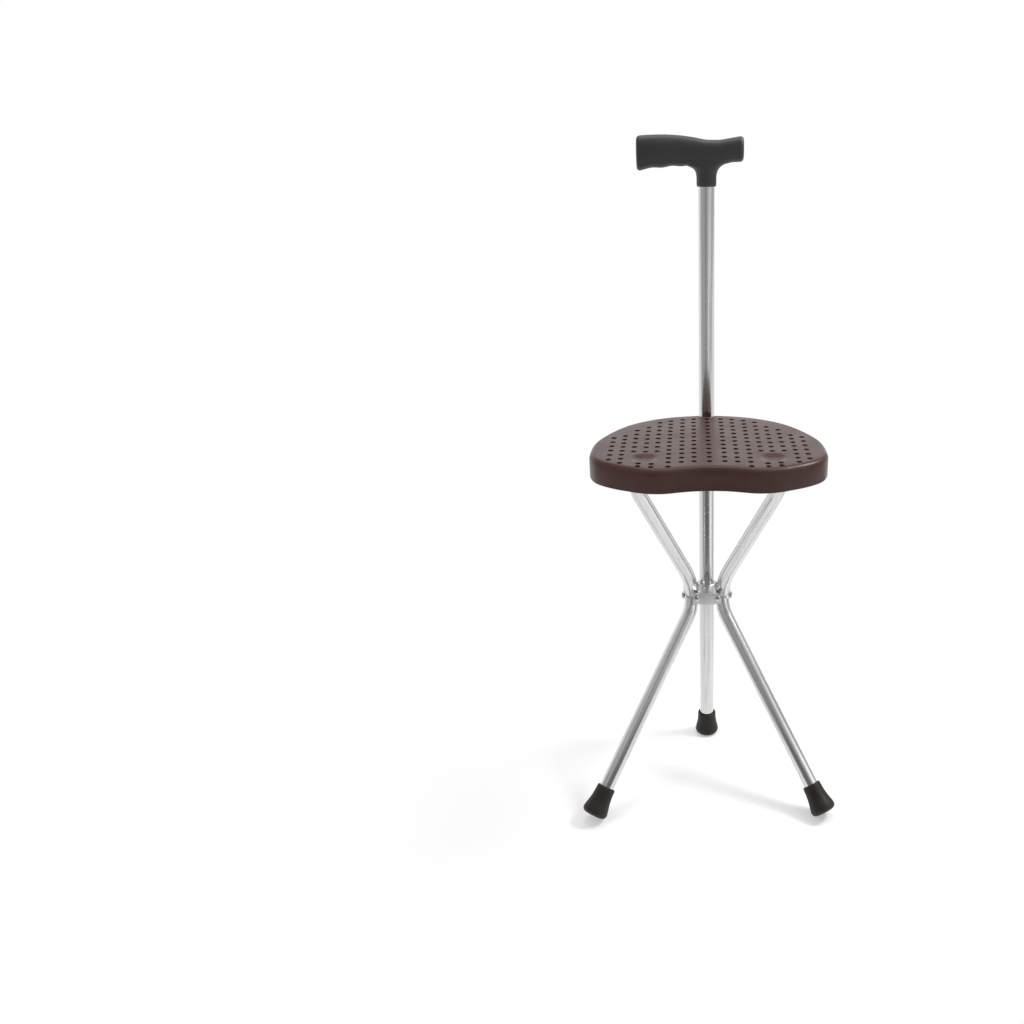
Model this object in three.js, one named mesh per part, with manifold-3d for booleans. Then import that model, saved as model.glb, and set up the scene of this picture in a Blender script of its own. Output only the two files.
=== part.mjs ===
import * as THREE from 'three';
import { mergeVertices, toCreasedNormals } from 'three/addons/utils/BufferGeometryUtils.js';
import Module from 'manifold-3d';

const wasm = await Module();
wasm.setup();

// Walking stick seat, open, in millimetres.
// The origin is the centre of the rear foot on the floor, +Z is up and the seat points to -Y.
// In the tables below, forward means towards -Y.

// Stick
const stickHeight = 855.5;
const tubeRadius = 10.25;
const tubeWall = 1.5;

// Handle, heights given as drops below the top of the stick
const handleLongReach = 87;
const handleShortReach = 45;
const handleLongRound = 4.5;
const handleShortRound = 6;
const handleTopDrops = [
  [-87, 1.4], [-70, 0.3], [-52, 0], [-34, 0.8], [-15, 3.2], [-3, 5.5],
  [5.5, 6.1], [18, 5.8], [34, 3.2], [45, 1.4],
];
const handleUndersideDrops = [
  [-87, 43.5], [-83, 42], [-76, 39.9], [-64, 39.1], [-52, 37.7], [-40, 37.1], [-27.5, 36.2],
  [8, 35], [22.6, 34.5], [31, 32.5], [45, 31.8],
];
const handleDepths = [[-87, 32], [-60, 31], [-20, 28], [0, 27], [20, 27.5], [45, 28]];
const fingerWaveHeight = 0.7;
const fingerWavePitch = 24;
const fingerWaveInnerReach = 24;
const neckWall = 1.7;
const neckSpreads = [
  [61, 0, 0, 0], [60.2, 0.6, 0.6, 0.6], [48.5, 0.6, 0.6, 0.6], [44, 1.3, 1.2, 0.8], [41, 2.9, 2.6, 1.1],
  [38.5, 6.5, 5.4, 1.3], [36, 12.6, 10.5, 1.3], [33, 16, 17, 1.1], [30, 17, 21, 0.6],
];
const tubeCover = 17.5;
const gripHoleRadius = 1.5;
const gripHoleDepth = 5;

// Rear foot, radius steps over the tube given against height
const footRadius = 17;
const rearFootHeight = 35;
const footRimRound = 6;
const footFlareShares = [[0.27, 0.95], [0.38, 0.72], [0.5, 0.46], [0.64, 0.24], [0.8, 0.08], [0.95, 0]];
const footLipChamfer = 0.7;
const footWall = 2.6;
const footSole = 7;
const discThickness = 1.4;
const discPlay = 0.35;

// Front feet
const frontFootHeight = 39;
const frontFootForward = 198;
const frontFootLateral = 153;
const frontFootBaseHeight = 10;

// Hub on the stick
const axleForward = 21;
const axleHeight = 241.6;
const axleRadius = 3;
const saddleWall = 2.8;
const saddleHalfHeight = 10;
const saddleRound = 0.8;
const blockHalfWidth = 10.6;
const blockBelow = 7;
const blockAbove = 9;
const hubWasherRadius = 6.5;
const hubWasherThickness = 1.3;
const flangeReach = 17;
const flangeThickness = 1.2;
const plateHalfWidth = 20;
const plateBelow = 4.6;
const plateAbove = 11.9;
const plateCorner = 2.6;
const plateThickness = 1.8;
const plateRivetLateral = 14.8;
const plateRivetHeadRadius = 4.5;
const plateRivetHeadHeight = 1.9;
const plateRivetShankRadius = 1.7;
const strapThickness = 1.6;
const strapHalfHeight = 6;
const strapHugDegrees = 38;
const strapElbowForward = 5.5;
const strapElbowRound = 5;
const axleHeadRadius = 5.5;
const axleHeadHeight = 2;

// Tubes of the struts and the front legs
const legRadius = 9.5;
const legWall = 1.2;
const strutBendRadius = 155;
const strutBendAt = 32;
const strutEndBendRadius = 55;
const strutEndBendAt = 212;
const legBendRadius = 62;
const legBendAt = 20;
const plugLength = 18;
const lapGap = 0.5;
const lapPlay = 0.4;
const eyeBulge = 1.65;
const eyeRoundShares = [[0, 1], [0.35, 0.985], [0.6, 0.93], [0.8, 0.83], [0.93, 0.7], [1, 0.56]];

// Seat
const seatTop = 504;
const seatThickness = 29;
const seatWidth = 281;
const seatDepth = 223.5;
const seatRearForward = 11;
const seatOutlineShares = [
  [0, 0], [0.222, 0.016], [0.393, 0.047], [0.547, 0.098], [0.702, 0.178], [0.832, 0.29],
  [0.975, 0.5], [1, 0.666], [0.989, 0.756], [0.939, 0.832], [0.86, 0.883], [0.76, 0.926],
  [0.667, 0.955], [0.602, 0.975], [0.516, 0.993], [0.43, 1], [0.344, 0.996], [0.247, 0.98],
  [0.151, 0.966], [0.057, 0.96], [0, 0.96],
];
const seatRimRound = 7;
const seatFootRound = 1.5;
const seatWall = 3;
const seatPlate = 4.2;
const seatCavityRound = 4;
const notchDepth = 12.5;
const notchPlay = 2.4;
const ribThickness = 2;
const ribLateral = 39.6;
const ribForward = 102.5;
const ribSetback = 2;
const holeRadius = 3.1;
// Columns of holes: lateral place, first and last hole forward, number of holes
const holeColumns = [
  [0, 33, 204, 12], [17.6, 33, 204, 12], [32, 35.7, 206, 12], [47, 41.5, 222, 13],
  [61, 49.5, 167, 8], [74.5, 70, 168, 7], [88.5, 83, 167, 6], [102, 106, 208, 8],
  [115.5, 114, 196, 6], [66, 212.5, 223, 2], [81, 210.5, 220, 2],
];
const recessLateral = 74;
const recessForward = 188;
const recessHalfWidth = 18;
const recessHalfDepth = 15;
const recessDepth = 2.4;
const recessSlope = 6;

// Seat hinges
const pinForward = 125;
const pinDrop = 16;
const pinInset = 52;
const pinRadius = 3;
const pinHeadRadius = 4.6;
const pinHeadHeight = 1.4;
const bracketPlate = 2;
const bracketHalfLength = 27;
const bracketCheekFoot = 13;
const bracketCheekRound = 7;
const bracketPlay = 0.6;
const screwHeadRadius = 3.6;
const screwHeadHeight = 1.7;
const screwShankRadius = 1.7;
const screwDepth = 11;
const bossRadius = 4.6;
const bracketScrewReach = 20.5;

// Channel under the seat and latch on the stick
const channelInnerHalfWidth = 11.5;
const channelWall = 2;
const channelWebStart = 29;
const channelFront = 198;
const channelFrontDepth = 9;
const hookBelowLatch = 6;
const channelDeepForward = 62;
const channelFingerRear = 6;
const fingerBelowLatch = 2;
const channelScrewForwards = [40.8, 118.5, 180.7];
const latchDrop = 25;
const latchForward = 15.5;
const latchRadius = 2.6;
const latchHalfWidth = 16;
const latchPadHalfWidth = 5.5;
const latchPadAbove = 5;
const latchPadBelow = 13;
const latchPadForward = 13.4;
const latchPlay = 0.45;
const hookLipSlopeShare = 0.52;
const rivetDrop = 7;
const rivetRadius = 2;
const rivetHeadRadius = 3.8;
const rivetHeadHeight = 1.4;
const studHeight = 519;
const studShank = 6;

// Clearances and helpers of cuts
const fitGap = 0.3;
const cutOverrun = 1;
const weldDistance = 0.0005;
const deepCut = 60;
const creaseAngle = 0.7;

// Facets
const tubeSides = 32;
const legSides = 20;
const boreSides = 8;
const smallSides = 14;
const holeSides = 6;
const bendSteps = 4;
const gripSides = 24;
const gripSteps = 15;
const outlineSteps = 76;
const roundSteps = 3;
const gripSquareness = 2.6;
const domeSteps = 3;

// Sizes that follow
const tubeBore = tubeRadius - tubeWall;
const tubeBottom = footSole + discThickness + 2 * fitGap;
const tubeTop = stickHeight - tubeCover;
const seatUnderside = seatTop - seatThickness;
const pinHeight = seatUnderside - pinDrop;
const pinLateral = seatWidth / 2 - pinInset;
const latchHeight = seatUnderside - latchDrop;
const strutLength = Math.hypot(pinForward - axleForward, pinHeight - axleHeight);
const strutTilt = Math.atan2(pinForward - axleForward, pinHeight - axleHeight);
const legLength = Math.hypot(frontFootForward - axleForward, axleHeight - frontFootBaseHeight);
const legTilt = Math.atan2(frontFootForward - axleForward, axleHeight - frontFootBaseHeight);
const kneeLateral = blockHalfWidth + hubWasherThickness + 2 * fitGap + legRadius;
const kneeOuter = kneeLateral + legRadius;
const eyeRadius = legRadius + eyeBulge;
const lapRadius = eyeRadius + lapPlay;
const boreRadius = axleRadius + fitGap;
const saddleRadius = tubeRadius + fitGap + saddleWall;
const strapInner = saddleRadius + fitGap;
const earInner = kneeOuter + 2 * fitGap;
const flangeRear = axleForward + flangeReach;
const plateRear = flangeRear + flangeThickness + fitGap;
const channelTop = seatUnderside - fitGap;

// Colours and surfaces
const aluminium = finish(0xc9cacc, 0.3, 0.95);
const blackPlastic = finish(0x1d1d1f, 0.55, 0);
const blackRubber = finish(0x1a1a1b, 0.8, 0);
const blackSteel = finish(0x202022, 0.45, 0.4);
const brightSteel = finish(0xb4b4b6, 0.3, 0.95);
const seatBrown = finish(0x5d4a46, 0.5, 0);

function finish(color, roughness, metalness) {
  return new THREE.MeshStandardMaterial({ color, roughness, metalness });
}

// Closed body from a mesh, facing outwards
function solid(geometry) {
  const bare = geometry.index ? geometry.toNonIndexed() : geometry.clone();
  bare.deleteAttribute('normal');
  bare.deleteAttribute('uv');
  const welded = mergeVertices(bare, weldDistance);
  const place = welded.attributes.position;
  const corners = [new THREE.Vector3(), new THREE.Vector3(), new THREE.Vector3()];
  const kept = [];
  let volume = 0;
  for (let i = 0; i < welded.index.count; i += 3) {
    const ids = [0, 1, 2].map((k) => welded.index.getX(i + k));
    if (new Set(ids).size === 3) {
      ids.forEach((id, k) => corners[k].fromBufferAttribute(place, id));
      volume += corners[0].dot(corners[1].cross(corners[2]));
      kept.push(...ids);
    }
  }
  if (volume < 0) kept.reverse();
  return new wasm.Manifold(new wasm.Mesh({
    numProp: 3,
    vertProperties: Float32Array.from(place.array),
    triVerts: Uint32Array.from(kept),
  }));
}

function surface(body) {
  const mesh = body.getMesh();
  const geometry = new THREE.BufferGeometry();
  geometry.setAttribute('position', new THREE.BufferAttribute(mesh.vertProperties, mesh.numProp));
  geometry.setIndex(new THREE.BufferAttribute(mesh.triVerts, 1));
  return toCreasedNormals(geometry, creaseAngle);
}

function mirrored(geometry) {
  return surface(solid(geometry.clone().scale(-1, 1, 1)));
}

function joined(bodies) {
  return bodies.reduce((sum, body) => sum.add(body));
}

function at(lateral, forward, height) {
  return new THREE.Vector3(lateral, -forward, height);
}

// Skin over rings with the same number of points, closed at both ends
function loft(rings) {
  const count = rings[0].length;
  const points = rings.flat();
  const index = [];
  for (let r = 0; r + 1 < rings.length; r += 1) {
    for (let i = 0; i < count; i += 1) {
      const j = (i + 1) % count;
      const [a, b] = [r * count + i, r * count + j];
      index.push(a, b, b + count, a, b + count, a + count);
    }
  }
  [0, rings.length - 1].forEach((r) => {
    const middle = new THREE.Vector3();
    rings[r].forEach((point) => middle.addScaledVector(point, 1 / count));
    points.push(middle);
    for (let i = 0; i < count; i += 1) {
      const [a, b] = [r * count + i, r * count + (i + 1) % count];
      index.push(points.length - 1, r ? a : b, r ? b : a);
    }
  });
  const geometry = new THREE.BufferGeometry().setFromPoints(points);
  geometry.setIndex(index);
  return geometry;
}

// Turned body round +Z from pairs of radius and height
function turned(profile, sides) {
  const points = profile.map(([radius, height]) => new THREE.Vector2(radius, height));
  return solid(new THREE.LatheGeometry(points, sides).rotateX(Math.PI / 2));
}

// Turned body whose axis runs along X or forward, moved to a place
function turnedAcross(profile, sides, place) {
  const points = profile.map(([radius, height]) => new THREE.Vector2(radius, height));
  const geometry = new THREE.LatheGeometry(points, sides).rotateZ(-Math.PI / 2);
  return solid(geometry.translate(place.x, place.y, place.z));
}

function turnedForward(profile, sides, place) {
  const points = profile.map(([radius, height]) => new THREE.Vector2(radius, height));
  const geometry = new THREE.LatheGeometry(points, sides).rotateX(Math.PI);
  return solid(geometry.translate(place.x, place.y, place.z));
}

function rod(radius, from, to) {
  return [[0, from], [radius, from], [radius, to], [0, to]];
}

function ringProfile(inner, outer, from, to) {
  return [[inner, from], [outer, from], [outer, to], [inner, to], [inner, from]];
}

// Domed head on a shank, the head starting at the height zero
function headed(shankRadius, shankLength, headRadius, headHeight) {
  const dome = Array.from({ length: domeSteps + 1 }, (_, k) => {
    const turn = (k / domeSteps) * (Math.PI / 2);
    return [headRadius * Math.cos(turn), headHeight * Math.sin(turn)];
  });
  dome[domeSteps][0] = 0;
  return [[0, -shankLength], [shankRadius, -shankLength], [shankRadius, 0], ...dome];
}

// Slab with an outline of lateral and forward pairs
function planSlab(outline, bottom, top) {
  const shape = new THREE.Shape(outline.map(([lateral, forward]) => new THREE.Vector2(lateral, forward)));
  const geometry = new THREE.ExtrudeGeometry(shape, { depth: top - bottom, bevelEnabled: false });
  return solid(geometry.scale(1, -1, 1).translate(0, 0, bottom));
}

// Slab with an outline of forward and height pairs, between two lateral planes
function sideSlab(outline, left, right) {
  const shape = new THREE.Shape(outline.map(([forward, height]) => new THREE.Vector2(forward, height)));
  const geometry = new THREE.ExtrudeGeometry(shape, { depth: right - left, bevelEnabled: false });
  const basis = new THREE.Matrix4().makeBasis(at(0, 1, 0), at(0, 0, 1), at(1, 0, 0));
  return solid(geometry.applyMatrix4(basis).translate(left, 0, 0));
}

function block(left, right, rear, front, bottom, top) {
  return planSlab([[left, rear], [right, rear], [right, front], [left, front]], bottom, top);
}

// Smooth value from a table of pairs
function smooth(table, x) {
  const last = table.length - 1;
  if (x <= table[0][0]) return table[0][1];
  if (x >= table[last][0]) return table[last][1];
  const i = table.findIndex((pair) => pair[0] > x) - 1;
  const slope = (k) => {
    const a = table[Math.max(k - 1, 0)];
    const b = table[Math.min(k + 1, last)];
    return (b[1] - a[1]) / (b[0] - a[0]);
  };
  const span = table[i + 1][0] - table[i][0];
  const t = (x - table[i][0]) / span;
  const rise = table[i][1] * (1 + 2 * t) * (1 - t) ** 2 + table[i + 1][1] * t * t * (3 - 2 * t);
  return rise + span * (slope(i) * t * (1 - t) ** 2 - slope(i + 1) * t * t * (1 - t));
}

// Rounded oval section, wide and high
function oval(halfWide, halfHigh, sides, place) {
  return Array.from({ length: sides }, (_, k) => {
    const turn = (k / sides) * 2 * Math.PI;
    const power = 2 / gripSquareness;
    const wide = Math.sign(Math.cos(turn)) * Math.abs(Math.cos(turn)) ** power;
    const high = Math.sign(Math.sin(turn)) * Math.abs(Math.sin(turn)) ** power;
    return place(halfWide * wide, halfHigh * high);
  });
}

// Path of a bent tube: straight runs with an arc of its own radius at each corner
function bentPath(corners, radii) {
  const path = [corners[0]];
  for (let i = 1; i + 1 < corners.length; i += 1) {
    const back = corners[i - 1].clone().sub(corners[i]).normalize();
    const ahead = corners[i + 1].clone().sub(corners[i]).normalize();
    const turn = Math.PI - back.angleTo(ahead);
    const start = corners[i].clone().addScaledVector(back, radii[i - 1] * Math.tan(turn / 2));
    const inward = back.clone().add(ahead).normalize();
    const centre = corners[i].clone().addScaledVector(inward, radii[i - 1] / Math.cos(turn / 2));
    const spoke = start.sub(centre);
    const sign = Math.sign(spoke.x * ahead.y - spoke.y * ahead.x);
    for (let k = 0; k <= bendSteps; k += 1) {
      const swing = spoke.clone().rotateAround(new THREE.Vector2(), (sign * turn * k) / bendSteps);
      path.push(swing.add(centre));
    }
  }
  path.push(corners[corners.length - 1]);
  return path;
}

// Round bar along a path of lateral and lengthwise pairs in the plane of the limb
function bar(path, radius, sides) {
  const rings = path.map((point, i) => {
    const before = path[Math.max(i - 1, 0)];
    const after = path[Math.min(i + 1, path.length - 1)];
    const along = after.clone().sub(before).normalize();
    return Array.from({ length: sides }, (_, k) => {
      const turn = (k / sides) * 2 * Math.PI;
      const across = radius * Math.cos(turn);
      return new THREE.Vector3(
        point.x + across * along.y,
        radius * Math.sin(turn),
        point.y - across * along.x,
      );
    });
  });
  return solid(loft(rings));
}

// Knee of a limb: a round eye on the axle, halved so that two limbs share one place
function kneeEye() {
  const outer = eyeRoundShares.map(([place, size]) => [eyeRadius * size, legRadius * place]);
  const inner = outer.slice(1).map(([size, place]) => [size, -place]).reverse();
  const profile = [[0, -legRadius], ...inner, ...outer, [0, legRadius]];
  return turnedAcross(profile, legSides, at(kneeLateral, 0, 0));
}

function limb(path, keepsInner) {
  const hollow = [...path];
  const knee = new THREE.Vector2(kneeLateral, 0);
  const first = hollow.findIndex((point) => point.distanceTo(knee) > plugLength);
  hollow.splice(0, first, hollow[first - 1].clone().lerp(hollow[first], 0.5));
  const cutFrom = keepsInner ? kneeLateral - lapGap / 2 : kneeLateral + lapGap / 2;
  const cutTo = keepsInner ? kneeOuter + cutOverrun : kneeLateral - legRadius - cutOverrun;
  const lap = rod(lapRadius, Math.min(cutFrom, cutTo), Math.max(cutFrom, cutTo));
  const bore = rod(boreRadius, kneeLateral - legRadius - cutOverrun, kneeOuter + cutOverrun);
  return {
    outside: bar(path, legRadius, legSides).add(kneeEye()),
    hollow,
    cuts: [turnedAcross(lap, legSides, at(0, 0, 0)), turnedAcross(bore, boreSides, at(0, 0, 0))],
  };
}

// Pieces and their places
const stool = new THREE.Group();
stool.name = 'walking_stick_seat';

function gather(name, place, tilt = 0) {
  const group = new THREE.Group();
  group.name = name;
  group.position.copy(place);
  group.rotation.x = tilt;
  stool.add(group);
  return group;
}

function piece(group, name, geometry, material, place = at(0, 0, 0)) {
  const mesh = new THREE.Mesh(geometry, material);
  mesh.name = name;
  mesh.position.copy(place);
  group.add(mesh);
  return mesh;
}

const axlePlace = at(0, axleForward, axleHeight);
const hingePlace = at(0, pinForward, pinHeight);
const shaft = gather('shaft_pieces', at(0, 0, 0));
const hub = gather('hub_pieces', axlePlace);
const seat = gather('seat_pieces', hingePlace);
const seatOffset = hingePlace.clone().negate();
const hubOffset = axlePlace.clone().negate();

// Tube of the stick, with cross holes for the rivet and the stud
const crossHoleAt = (height) => turnedForward(
  rod(rivetRadius + fitGap, -deepCut, deepCut), boreSides, at(0, 0, height));
const studHole = turnedForward(rod(rivetRadius + fitGap, -deepCut, 0), smallSides, at(0, 0, studHeight));
const tube = turned(ringProfile(tubeBore, tubeRadius, tubeBottom, tubeTop), tubeSides)
  .subtract(crossHoleAt(latchHeight - rivetDrop))
  .subtract(studHole);
piece(shaft, 'main_tube', surface(tube), aluminium);

// Handle: a grip along X with finger waves below, and a neck that flares into it
function gripRing(x, shrink) {
  const wave = x < -fingerWaveInnerReach ? fingerWaveHeight * Math.sin((2 * Math.PI * x) / fingerWavePitch) : 0;
  const top = stickHeight - smooth(handleTopDrops, x) - shrink;
  const bottom = stickHeight - smooth(handleUndersideDrops, x) + wave + shrink;
  const halfDeep = smooth(handleDepths, x) / 2 - shrink;
  const middle = (top + bottom) / 2;
  return oval(halfDeep, (top - bottom) / 2, gripSides, (y, z) => new THREE.Vector3(x, y, middle + z));
}

function gripEnd(reach, round, side) {
  return Array.from({ length: roundSteps }, (_, k) => {
    const turn = (k / roundSteps) * (Math.PI / 2);
    return gripRing(side * (reach - round + round * Math.cos(turn)), round * (1 - Math.sin(turn)));
  });
}

const gripStart = handleLongRound - handleLongReach;
const gripRun = handleShortReach - handleShortRound - gripStart;
const gripRings = [
  ...gripEnd(handleLongReach, handleLongRound, -1),
  ...Array.from({ length: gripSteps + 1 }, (_, k) => gripRing(gripStart + (gripRun * k) / gripSteps, 0)),
  ...gripEnd(handleShortReach, handleShortRound, 1).reverse(),
];
const neckRadius = tubeRadius + fitGap + neckWall;
const neckRings = neckSpreads.map(([drop, longSpread, shortSpread, deepSpread]) => {
  const halfWide = neckRadius + (longSpread + shortSpread) / 2;
  const middle = (shortSpread - longSpread) / 2;
  const place = (x, y) => new THREE.Vector3(middle + x, y, stickHeight - drop);
  const power = gripSquareness;
  return Array.from({ length: gripSides }, (_, k) => {
    const turn = (k / gripSides) * 2 * Math.PI;
    const square = Math.min(1, longSpread / neckRadius) * (power - 2);
    const share = (Math.abs(Math.cos(turn)) ** (2 + square) + Math.abs(Math.sin(turn)) ** (2 + square));
    const reach = share ** (-1 / (2 + square));
    return place(halfWide * reach * Math.cos(turn), (neckRadius + deepSpread) * reach * Math.sin(turn));
  });
});
const gripHoleHeight = stickHeight - (handleTopDrops[0][1] + handleUndersideDrops[0][1]) / 2;
const gripHole = turnedAcross(
  rod(gripHoleRadius, -handleLongReach - cutOverrun, gripHoleDepth - handleLongReach),
  boreSides, at(0, 0, gripHoleHeight));
const handle = solid(loft(gripRings))
  .add(solid(loft(neckRings)))
  .subtract(turned(rod(tubeRadius + fitGap, stickHeight - neckSpreads[0][0] - cutOverrun, tubeTop + fitGap), tubeSides))
  .subtract(gripHole);
piece(shaft, 'handle', surface(handle), blackPlastic);

// Feet: a flared rubber cup with a steel disc under the tube end
function foot(height, limbRadius, sides) {
  const topRadius = limbRadius + fitGap + footWall;
  const flare = footFlareShares.map(([heightShare, stepShare]) => [
    topRadius + (footRadius - topRadius) * stepShare * (1 - heightShare / 2),
    height * heightShare,
  ]);
  const footRim = Array.from({ length: roundSteps + 1 }, (_, k) => {
    const turn = (k / roundSteps) * (Math.PI / 2);
    return [footRadius - footRimRound * (1 - Math.sin(turn)), footRimRound * (1 - Math.cos(turn))];
  });
  const profile = [
    [0, 0], ...footRim, ...flare, [topRadius - footLipChamfer, height],
    [limbRadius + fitGap, height], [limbRadius + fitGap, footSole], [0, footSole],
  ];
  return turned(profile, sides);
}

function disc(limbRadius) {
  return turned(rod(limbRadius - discPlay, footSole + fitGap, footSole + fitGap + discThickness), tubeSides);
}

piece(shaft, 'rear_ferrule', surface(foot(rearFootHeight, tubeRadius, tubeSides)), blackRubber);
piece(shaft, 'rear_ferrule_disc', surface(disc(tubeRadius)), brightSteel);

// Latch: a pad on the stick with a crossbar, held by a rivet
const tubeClear = turned(rod(tubeRadius + fitGap, 0, stickHeight), tubeSides);
const latchPad = block(
  -latchPadHalfWidth, latchPadHalfWidth, 0, latchPadForward,
  latchHeight - latchPadBelow, latchHeight + latchPadAbove)
  .subtract(tubeClear)
  .add(turnedAcross(rod(latchRadius, -latchHalfWidth, latchHalfWidth), smallSides, at(0, latchForward, latchHeight)))
  .subtract(crossHoleAt(latchHeight - rivetDrop));
piece(shaft, 'latch_bar', surface(latchPad), blackSteel);

function crossRivet(height, rearFace, frontFace, material, name) {
  const rear = headed(rivetRadius, rearFace, rivetHeadRadius, rivetHeadHeight);
  const front = headed(rivetRadius, frontFace, rivetHeadRadius, rivetHeadHeight);
  const body = turnedForward(front, smallSides, at(0, frontFace, height))
    .add(turnedForward(rear.map(([r, z]) => [r, -z]), smallSides, at(0, -rearFace, height)));
  piece(shaft, name, surface(body), material);
}

crossRivet(latchHeight - rivetDrop, tubeRadius + fitGap, latchPadForward + fitGap, brightSteel, 'latch_rivet');

// Stud: a round head at the back of the tube, its shank in the rear wall only
const stud = headed(rivetRadius, studShank, rivetHeadRadius, rivetHeadHeight);
piece(shaft, 'upper_stud', surface(turnedForward(
  stud.map(([r, z]) => [r, -z]), smallSides, at(0, -tubeRadius - fitGap, studHeight))), brightSteel);

// Hub: a collar that slides on the stick, with a block for the axle and a flange in front
const saddleProfile = [
  [tubeRadius + fitGap, -saddleHalfHeight], [saddleRadius - saddleRound, -saddleHalfHeight],
  [saddleRadius, saddleRound - saddleHalfHeight], [saddleRadius, saddleHalfHeight - saddleRound],
  [saddleRadius - saddleRound, saddleHalfHeight], [tubeRadius + fitGap, saddleHalfHeight],
  [tubeRadius + fitGap, -saddleHalfHeight],
];

function plateOutline(halfWidth, bottom, top, corner) {
  const corners = [[1, 1, 0], [-1, 1, 1], [-1, -1, 2], [1, -1, 3]];
  return corners.flatMap(([sx, sz, quarter]) => Array.from({ length: roundSteps + 1 }, (_, k) => {
    const turn = (quarter + k / roundSteps) * (Math.PI / 2);
    const middle = sz > 0 ? top - corner : bottom + corner;
    return [sx * (halfWidth - corner) + corner * Math.cos(turn), middle + corner * Math.sin(turn)];
  }));
}

// Upright plate facing forward, between two forward planes
function facePlate(outline, rear, front) {
  const shape = new THREE.Shape(outline.map(([lateral, height]) => new THREE.Vector2(lateral, height)));
  const geometry = new THREE.ExtrudeGeometry(shape, { depth: front - rear, bevelEnabled: false });
  const basis = new THREE.Matrix4().makeBasis(at(1, 0, 0), at(0, 0, 1), at(0, 1, 0));
  return solid(geometry.applyMatrix4(basis).translate(0, -rear, 0));
}

const plateShape = plateOutline(plateHalfWidth, -plateBelow, plateAbove, plateCorner);
const rivetHeight = (plateAbove - plateBelow) / 2;
const rivetBores = [-1, 1].map((side) => turnedForward(
  rod(plateRivetShankRadius + fitGap, 0, deepCut), boreSides, at(side * plateRivetLateral, 0, rivetHeight)));
const flange = facePlate(plateShape, flangeRear, flangeRear + flangeThickness);
const collar = turned(saddleProfile, tubeSides)
  .add(block(-blockHalfWidth, blockHalfWidth, 0, flangeRear + cutOverrun, -blockBelow, blockAbove)
    .subtract(turned(rod(tubeRadius + fitGap + saddleRound, -deepCut, deepCut), tubeSides)))
  .add(flange)
  .subtract(turnedAcross(rod(boreRadius, -deepCut, deepCut), smallSides, at(0, axleForward, 0)))
  .subtract(joined(rivetBores))
  .subtract(block(-deepCut, deepCut, flangeRear + flangeThickness, deepCut * 2, -deepCut, deepCut));
const hubPlace = at(0, -axleForward, 0);
piece(hub, 'hub_saddle', surface(collar), brightSteel, hubPlace);

const cover = facePlate(plateShape, plateRear, plateRear + plateThickness).subtract(joined(rivetBores));
piece(hub, 'hub_front_plate', surface(cover), brightSteel, hubPlace);
const plateFront = plateRear + plateThickness + fitGap;
const plateRivet = headed(plateRivetShankRadius, plateFront - flangeRear - fitGap, plateRivetHeadRadius, plateRivetHeadHeight);
[['left', -1], ['right', 1]].forEach(([name, side]) => {
  const body = turnedForward(plateRivet, smallSides, at(side * plateRivetLateral, plateFront, rivetHeight));
  piece(hub, `front_plate_rivet_${name}`, surface(body), brightSteel, hubPlace);
});

// Strap round the back of the stick, out to an ear on each end of the axle
function strapEdge(radius, ear, elbowShift) {
  const hug = THREE.MathUtils.degToRad(strapHugDegrees);
  const arc = Array.from({ length: smallSides / 2 + 1 }, (_, k) => {
    const turn = (1 - (2 * k) / (smallSides / 2)) * -hug;
    return new THREE.Vector2(radius * Math.sin(turn), -radius * Math.cos(turn));
  });
  const elbow = new THREE.Vector2(ear, strapElbowForward + elbowShift);
  const end = new THREE.Vector2(ear, axleForward);
  const right = bentPath([arc[arc.length - 1], elbow, end], [strapElbowRound + radius - strapInner]);
  const left = right.map((point) => new THREE.Vector2(-point.x, point.y)).reverse();
  return [...left.slice(0, -1), ...arc, ...right.slice(1)].map((point) => [point.x, point.y]);
}

const strapShift = -strapThickness / 2;
const strapOutline = [
  ...strapEdge(strapInner + strapThickness, earInner + strapThickness, strapShift),
  ...strapEdge(strapInner, earInner, 0).reverse(),
];
const ears = [-earInner - strapThickness, earInner].map((start) => turnedAcross(
  rod(strapHalfHeight, start, start + strapThickness), smallSides, at(0, axleForward, 0)));
const strap = planSlab(strapOutline, -strapHalfHeight, strapHalfHeight)
  .add(joined(ears))
  .subtract(turnedAcross(rod(boreRadius, -deepCut, deepCut), boreSides, at(0, axleForward, 0)));
piece(hub, 'hub_yoke', surface(strap), brightSteel, hubPlace);

const axleHeadFace = earInner + strapThickness + fitGap;
const axleHead = headed(axleRadius, axleHeadFace, axleHeadRadius, axleHeadHeight);
const axle = turnedAcross(axleHead, smallSides, at(axleHeadFace, 0, 0))
  .add(turnedAcross(axleHead.map(([r, x]) => [r, -x]), smallSides, at(-axleHeadFace, 0, 0)));
piece(hub, 'hub_axle', surface(axle), brightSteel);
[['left', -1], ['right', 1]].forEach(([name, side]) => {
  const inner = blockHalfWidth + fitGap;
  const profile = ringProfile(boreRadius, hubWasherRadius, side * inner, side * (inner + hubWasherThickness));
  piece(hub, `hub_washer_${name}`, surface(turnedAcross(profile, smallSides, at(0, 0, 0))), brightSteel);
});

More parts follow.
